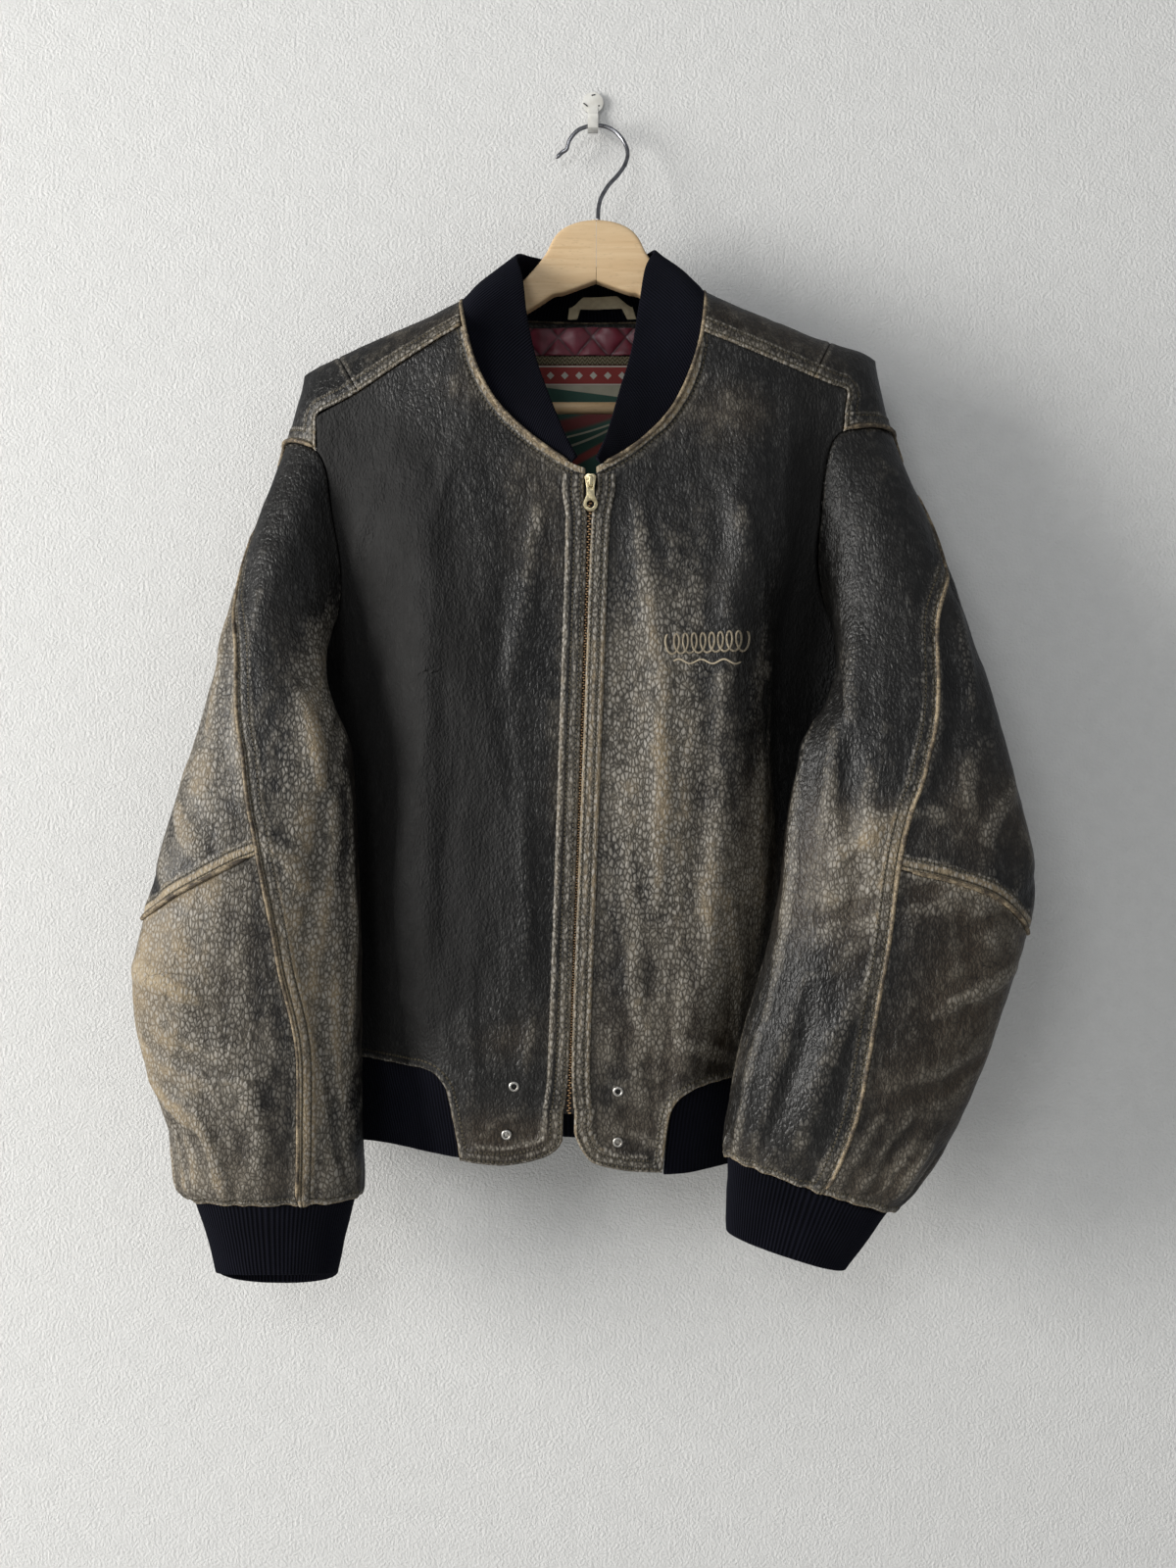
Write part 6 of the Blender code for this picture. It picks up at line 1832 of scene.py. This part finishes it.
def add_piping(kind, name, points, facing):
    radius = PIPINGS[kind]
    path = points + unit(facing) * (radius - PIPING_SINK)
    fine = even_path(path, 0.0024)
    run, places = arc_lengths(path, 0), arc_lengths(fine, 0)
    turned = np.stack([np.interp(places, run, facing[:, axis]) for axis in range(3)], axis=-1)
    round_rod(name, fine, turned, uneven(radius, fine, 4), 10, LOOKS["edge"], "worn_edge",
              stands_for=(name,))


def sleeve_outward(side, angle, place):
    around = sleeve_point(side, angle + 1, place) - sleeve_point(side, angle - 1, place)
    along = sleeve_point(side, angle, place + 0.01) - sleeve_point(side, angle, place - 0.01)
    return unit(np.cross(around, along)) * (-1 if side == LEFT else 1)


def add_pipings():
    for side in (LEFT, RIGHT):
        name = SIDE_NAMES[side]
        angle = np.linspace(-58, 58, 60)
        base = armhole_point(side, angle)
        near = sleeve_point(side, angle, 0.03) - base
        ahead = armhole_point(side, angle + 2) - armhole_point(side, angle - 2)
        facing = unit(np.cross(ahead, near)) * side
        add_piping("armhole", "armhole_piping_" + name, base + facing * CORD_RISE, facing)

        place = np.linspace(0.06, 1.985, 120)
        angle = FRONT_SEAM[side].at(place, "angle")
        facing = sleeve_outward(side, angle, place)
        add_piping("sleeve", "sleeve_piping_" + name, sleeve_point(side, angle, place), facing)

        share = np.linspace(-0.02, 0.97, 60)
        place = elbow_place(side, share)
        angle = outer_angle(side, share, place)
        facing = sleeve_outward(side, angle, place)
        add_piping("elbow", "elbow_piping_" + name, sleeve_point(side, angle, place), facing)

    place = np.linspace(0.15, COLLAR_LAST - 0.15, 240)
    base = collar_seam(place)
    facing = body_normals(base[:, 0], base[:, 2], collar_face(place))
    beyond = np.abs(base[:, 0]) - np.where(base[:, 0] < 0, NECK_END[LEFT], NECK_END[RIGHT])
    sunk = np.where(collar_face(place) > 0, smooth_step(beyond / 0.003), 1)[:, None]
    add_piping("neck", "neck_piping", base + facing * (CORD_RISE - 2 * CORD_RISE * sunk), facing)


# ---- snaps, zip and pull tab ----
def spun(name, profile, centre, outward, look, slot, stands_for=()):
    """A small turned piece: a profile of radius and height, in millimetres, spun about its axis."""
    shape = bmesh.new()
    made = [shape.verts.new((radius * MM, 0, height * MM)) for radius, height in profile]
    edges = [shape.edges.new(pair) for pair in zip(made, made[1:])]
    bmesh.ops.spin(shape, geom=made + edges, cent=(0, 0, 0), axis=(0, 0, 1), angle=2 * math.pi,
                   steps=32, use_merge=True)
    bmesh.ops.remove_doubles(shape, verts=shape.verts[:], dist=1e-6)
    bmesh.ops.recalc_face_normals(shape, faces=shape.faces[:])
    turn = Vector(outward).to_track_quat("Z", "Y").to_matrix().to_4x4()
    bmesh.ops.transform(shape, matrix=turn, verts=shape.verts[:])
    bmesh.ops.translate(shape, vec=Vector(centre), verts=shape.verts[:])
    mesh = mesh_of(shape, name)
    mesh.shade_smooth()
    return add_piece(name, mesh, look, slot, stands_for=stands_for)


RING_PROFILE = [(2.05, 0.1), (2.1, 0.9), (2.5, 1.35), (3.1, 1.5), (3.7, 1.25), (4.15, 0.7), (4.25, -0.6),
                (2.05, -0.6), (2.05, 0.1)]
CAP_PROFILE = [(0.0, 0.35), (1.2, 0.30), (1.9, 0.15), (2.1, -0.3), (0.0, -0.3)]
DARK_SNAPS = (1, 3)


def add_snaps():
    for index, x, z, lift in SNAPS.grid:
        x, z = np.array([x * MM]), np.array([z * MM])
        outward = body_normals(x, z, np.array([1.0]))[0]
        centre = body_point(x, z, 1)[0] + outward * lift * MM
        name = "snap_%d" % index
        spun(name, RING_PROFILE, centre + outward * 0.0004, outward, LOOKS["nickel"], "old_nickel",
             stands_for=(name,))
        look = LOOKS["dark_hole"] if index in DARK_SNAPS else LOOKS["nickel"]
        spun("snap_centre_%d" % index, CAP_PROFILE, centre + outward * 0.0005, outward, look, "old_nickel")


TAPE = 0.0009
TOOTH_PITCH = 0.0020
TOOTH_SIZE = (0.0021, 0.0009, 0.0010)


def add_zip():
    def surface(u, v):
        z = (ZIP_TOP + v * (ZIP_BOTTOM - ZIP_TOP)) * MM
        x = ZIP_LINE.at(z / MM, "x") * MM + (u - 0.5) * (ZIP_WIDTH - GAP)
        return body_point(x, z, 1)

    u, v = share_grid(9, 160)
    base = surface(u, v)
    normals = grid_normals(base, True)
    places = base - normals * (0.0004 + 0.0006 * np.sin(math.pi * u))[..., None]
    mesh = grid_mesh("zip_chain", places, {}, (arc_lengths(base, 1), arc_lengths(base, 0)), True)
    tape = add_piece("zip_chain", mesh, LOOKS["zip_tape"], "pale_brass", stands_for=("zip_chain",))
    thicken(tape, TAPE)

    shape = bmesh.new()
    count = int((ZIP_TOP - ZIP_BOTTOM) * MM / TOOTH_PITCH)
    share = (np.arange(count) + 0.5) / count
    middle = surface(np.full(count, 0.5), share)
    step = unit(surface(np.full(count, 0.5), share + 0.0005) - middle)
    for index in range(count):
        ahead, along = Vector(step[index]), Vector((1, 0, 0))
        out = ahead.cross(along).normalized()
        if out.y > 0:
            out = -out
        offset = TOOTH_SIZE[0] * 0.28 * (1 if index % 2 else -1)
        made = bmesh.ops.create_cube(shape, size=1.0)["verts"]
        bmesh.ops.scale(shape, vec=TOOTH_SIZE, verts=made)
        centre = Vector(middle[index]) + along * offset + out * 0.0002
        bmesh.ops.translate(shape, vec=centre, verts=made)
    bmesh.ops.bevel(shape, geom=shape.edges[:], offset=0.0002, segments=1, profile=0.5, affect="EDGES",
                    material=-1)
    add_piece("zip_teeth", mesh_of(shape, "zip_teeth"), LOOKS["copper"], "pale_brass")


def eased_copy(node, name, look, slot, body, width):
    """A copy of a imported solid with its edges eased, in its place."""
    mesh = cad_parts[node].data.copy()
    mesh.materials.clear()
    shape = bmesh.new()
    shape.from_mesh(mesh)
    bmesh.ops.remove_doubles(shape, verts=shape.verts[:], dist=1e-6)
    bmesh.ops.dissolve_limit(shape, angle_limit=math.radians(2), verts=shape.verts[:],
                             edges=shape.edges[:])
    shape.to_mesh(mesh)
    shape.free()
    mesh.shade_smooth()
    piece = add_piece(name, mesh, look, slot, body, stands_for=(node,))
    change = piece.modifiers.new("eased edges", "BEVEL")
    change.width = width
    change.segments = 3
    change.limit_method = "ANGLE"
    change.angle_limit = math.radians(30)
    change.harden_normals = True
    return piece


def add_hard_copies():
    eased_copy("zip_slider", "zip_slider_body", LOOKS["brass"], "pale_brass", BODY_NAME, 0.0003)
    eased_copy("pull_tab", "pull_tab_leaf", LOOKS["brass"], "pale_brass", "pull_tab", 0.00035)
    eased_copy("wall_hook", "wall_hook_body", LOOKS["plastic"], "white_plastic", BODY_NAME, 0.0005)


HOOK_FACE = -0.0024
NAIL_MARKS = [(0.4, 6.4, 3.2, 12), (-6.2, -1.8, 4.4, -38), (5.0, -2.7, 1.3, 0)]
NAIL_SLOT = (0.0005, 0.0010)        # depth and width


def add_nail_marks():
    """The nails' slots in the wall hook's disc: x, z, length in millimetres and a turn."""
    for index, (x, z, length, turn) in enumerate(NAIL_MARKS):
        shape = bmesh.new()
        made = bmesh.ops.create_cube(shape, size=1.0)["verts"]
        bmesh.ops.scale(shape, vec=(length * MM, *NAIL_SLOT), verts=made)
        matrix = Matrix.Rotation(math.radians(-turn), 3, "Y")
        bmesh.ops.rotate(shape, verts=made, cent=(0, 0, 0), matrix=matrix)
        bmesh.ops.translate(shape, verts=made, vec=(x * MM, HOOK_FACE, z * MM))
        add_piece("nail_mark_%d" % (index + 1), mesh_of(shape, "nail_mark"), LOOKS["dark_hole"],
                  "white_plastic")


# ---- hanger ----
WOOD_THICK = 0.013
BAR_RADIUS = 0.0048
WIRE_RADIUS = 0.0017


def wood_depth(x):
    """The arms curve forward towards their ends."""
    return (-55 - 6 * (x / 0.215) ** 2) * MM


def add_hanger():
    last = len(HANGER.grid) - 1
    for side in (LEFT, RIGHT):
        along = np.linspace(0, last, 150)
        out = HANGER.at(along, "x")
        x = HANGER_MIDDLE * MM + side * (GAP / 2 + out * MM)
        top, low = HANGER.at(along, "top") * MM, HANGER.at(along, "low") * MM
        seat = shoulder_z(side, x) - CAD_LEATHER - HANGER_SEAT
        top = np.where(out > HANGER_UNDER, seat, top)
        turns = np.linspace(0, 2 * math.pi, 41)
        cosine, sine = np.cos(turns), np.sin(turns)
        square = [np.sign(part) * np.abs(part) ** 0.26 for part in (cosine, sine)]
        end = np.minimum(1, np.sqrt(np.clip((last - along + 0.02) / 0.30, 0, 1)))
        middle, half = (top + low) / 2, (top - low) / 2 * end
        depth = WOOD_THICK / 2 * end
        y = wood_depth(x)[:, None] + depth[:, None] * square[0][None]
        z = middle[:, None] + half[:, None] * square[1][None]
        rings = point(np.repeat(x[:, None], len(turns), axis=1), y, z)
        name = "hanger_" + SIDE_NAMES[side]
        scale = (arc_lengths(rings, 1), arc_lengths(rings, 0))
        mesh = grid_mesh(name, rings, {}, scale, side == RIGHT, close=True)
        mesh.set_sharp_from_angle(angle=math.radians(60))
        add_piece(name, mesh, LOOKS["wood"], "pale_beech", stands_for=(name,))
    end = BAR_HALF * MM
    x = np.linspace(-end, end, 60) + HANGER_MIDDLE * MM
    path = point(x, wood_depth(end), BAR_Z * MM)
    round_rod("trouser_bar", path, (0, -1, 0), BAR_RADIUS, 20, LOOKS["wood"], "pale_beech",
              stands_for=("trouser_bar",))
    place = np.linspace(0, len(HOOK_WIRE.grid) - 1, 150)
    path = point(*(HOOK_WIRE.at(place, name) * MM for name in ("x", "y", "z")))
    tip = np.sqrt(np.clip((np.arange(150) + 0.5) / 4, 0.1, 1))
    round_rod("hanger_hook", path, (0, -1, 0.02), WIRE_RADIUS * tip, 16, LOOKS["steel"], "hook_steel",
              stands_for=("hanger_hook",))


# ---- room, lamps and camera ----
def stage_look(name, colour, streaks):
    """A faintly streaked surface of the room, clear when it is seen from behind."""
    look = Look(name, Roughness=0.9)
    fine = look.cloudy(look.place(scale=(1, 1, 0.24)), 420, 3, 0.6, 0.2)
    coarse = look.cloudy(look.place(scale=(1, 1, 0.5)), 60, 3)
    look.feed(Base_Color=look.mix(coarse.ramp(0.3, 0.7), colour, tuple(part * 0.965 for part in colour)))
    look.raise_by((fine * 1.3 + coarse * 0.35) * streaks)
    output = look.tree.nodes["Material Output"]
    behind = look.node("ShaderNodeNewGeometry", output="Backfacing")
    clear = look.node("ShaderNodeBsdfTransparent")
    mixed = look.node("ShaderNodeMixShader", inputs={0: behind, 1: Value(look, look.shader.outputs[0]),
                                                     2: clear})
    look.tree.links.new(mixed.socket, output.inputs["Surface"])
    return look.material


def stage_sheet(name, size, place, turn, look):
    shape = bmesh.new()
    bmesh.ops.create_grid(shape, x_segments=1, y_segments=1, size=size)
    made = linked(name, mesh_of(shape, name))
    made.data.materials.append(look)
    made.location = place
    made.rotation_euler = turn
    return made


def add_lamp(name, place, target, size, power, colour=(1, 1, 1)):
    lamp = bpy.data.lights.new(name, "AREA")
    lamp.shape = "RECTANGLE"
    lamp.size, lamp.size_y = size
    lamp.energy = power
    lamp.color = colour
    made = linked(name, lamp)
    made.location = place
    made.rotation_euler = (Vector(target) - Vector(place)).to_track_quat("-Z", "Y").to_euler()


def add_world():
    world = bpy.data.worlds.new("pale room")
    world.use_nodes = True
    bpy.context.scene.world = world
    nodes, links = world.node_tree.nodes, world.node_tree.links
    sky = nodes["Background"]
    sky.inputs["Color"].default_value = (0.80, 0.83, 0.87, 1)
    sky.inputs["Strength"].default_value = 0.28
    seen = nodes.new("ShaderNodeBackground")
    seen.inputs["Color"].default_value = (0.78, 0.78, 0.76, 1)
    ray = nodes.new("ShaderNodeLightPath")
    mixed = nodes.new("ShaderNodeMixShader")
    links.new(ray.outputs["Is Camera Ray"], mixed.inputs[0])
    links.new(sky.outputs[0], mixed.inputs[1])
    links.new(seen.outputs[0], mixed.inputs[2])
    links.new(mixed.outputs[0], nodes["World Output"].inputs["Surface"])


def add_room():
    plaster = stage_look("pale_plaster", (0.79, 0.785, 0.765), 1.0)
    wall = stage_sheet("room_wall", 3.2, (0, 0.0012, -0.4), (math.pi / 2, 0, 0), plaster)
    # the wall is only looked at, so that the back of the jacket gets the room's light too
    wall.visible_diffuse = wall.visible_glossy = wall.visible_shadow = False
    floor = stage_look("pale_floor", (0.74, 0.735, 0.72), 0.2)
    stage_sheet("room_floor", 3.2, (0, -3.2, -1.60), (0, 0, 0), floor)
    middle = (0, -0.1, -0.55)
    add_lamp("window_left", (-4.2, -1.75, -0.05), middle, (1.8, 2.4), 250, (1.0, 0.985, 0.96))
    add_lamp("window_front", (-0.9, -2.5, 0.5), middle, (0.8, 1.0), 12, (0.97, 0.985, 1.0))
    add_lamp("room_fill", (1.9, -2.6, 0.4), middle, (2.0, 2.0), 4, (0.93, 0.96, 1.0))
    add_world()


CAMERA_PLACE = (-0.00415, -1.350, -0.5766)      # level, in front of the wall


def add_camera():
    camera = bpy.data.cameras.new("camera")
    camera.sensor_fit = "VERTICAL"
    camera.sensor_height = 36
    camera.sensor_width = 27
    camera.lens = 36.5625
    made = linked("camera", camera)
    made.location = CAMERA_PLACE
    made.rotation_euler = (math.pi / 2, 0, 0)
    bpy.context.scene.camera = made
    bpy.context.scene.view_settings.view_transform = "Standard"


add_fronts()
add_back()
add_yokes()
add_sleeves()
add_plackets()
add_embroidery()
add_ribs()
add_lining()
add_pipings()
add_snaps()
add_zip()
add_hard_copies()
add_nail_marks()
add_hanger()
add_room()
add_camera()
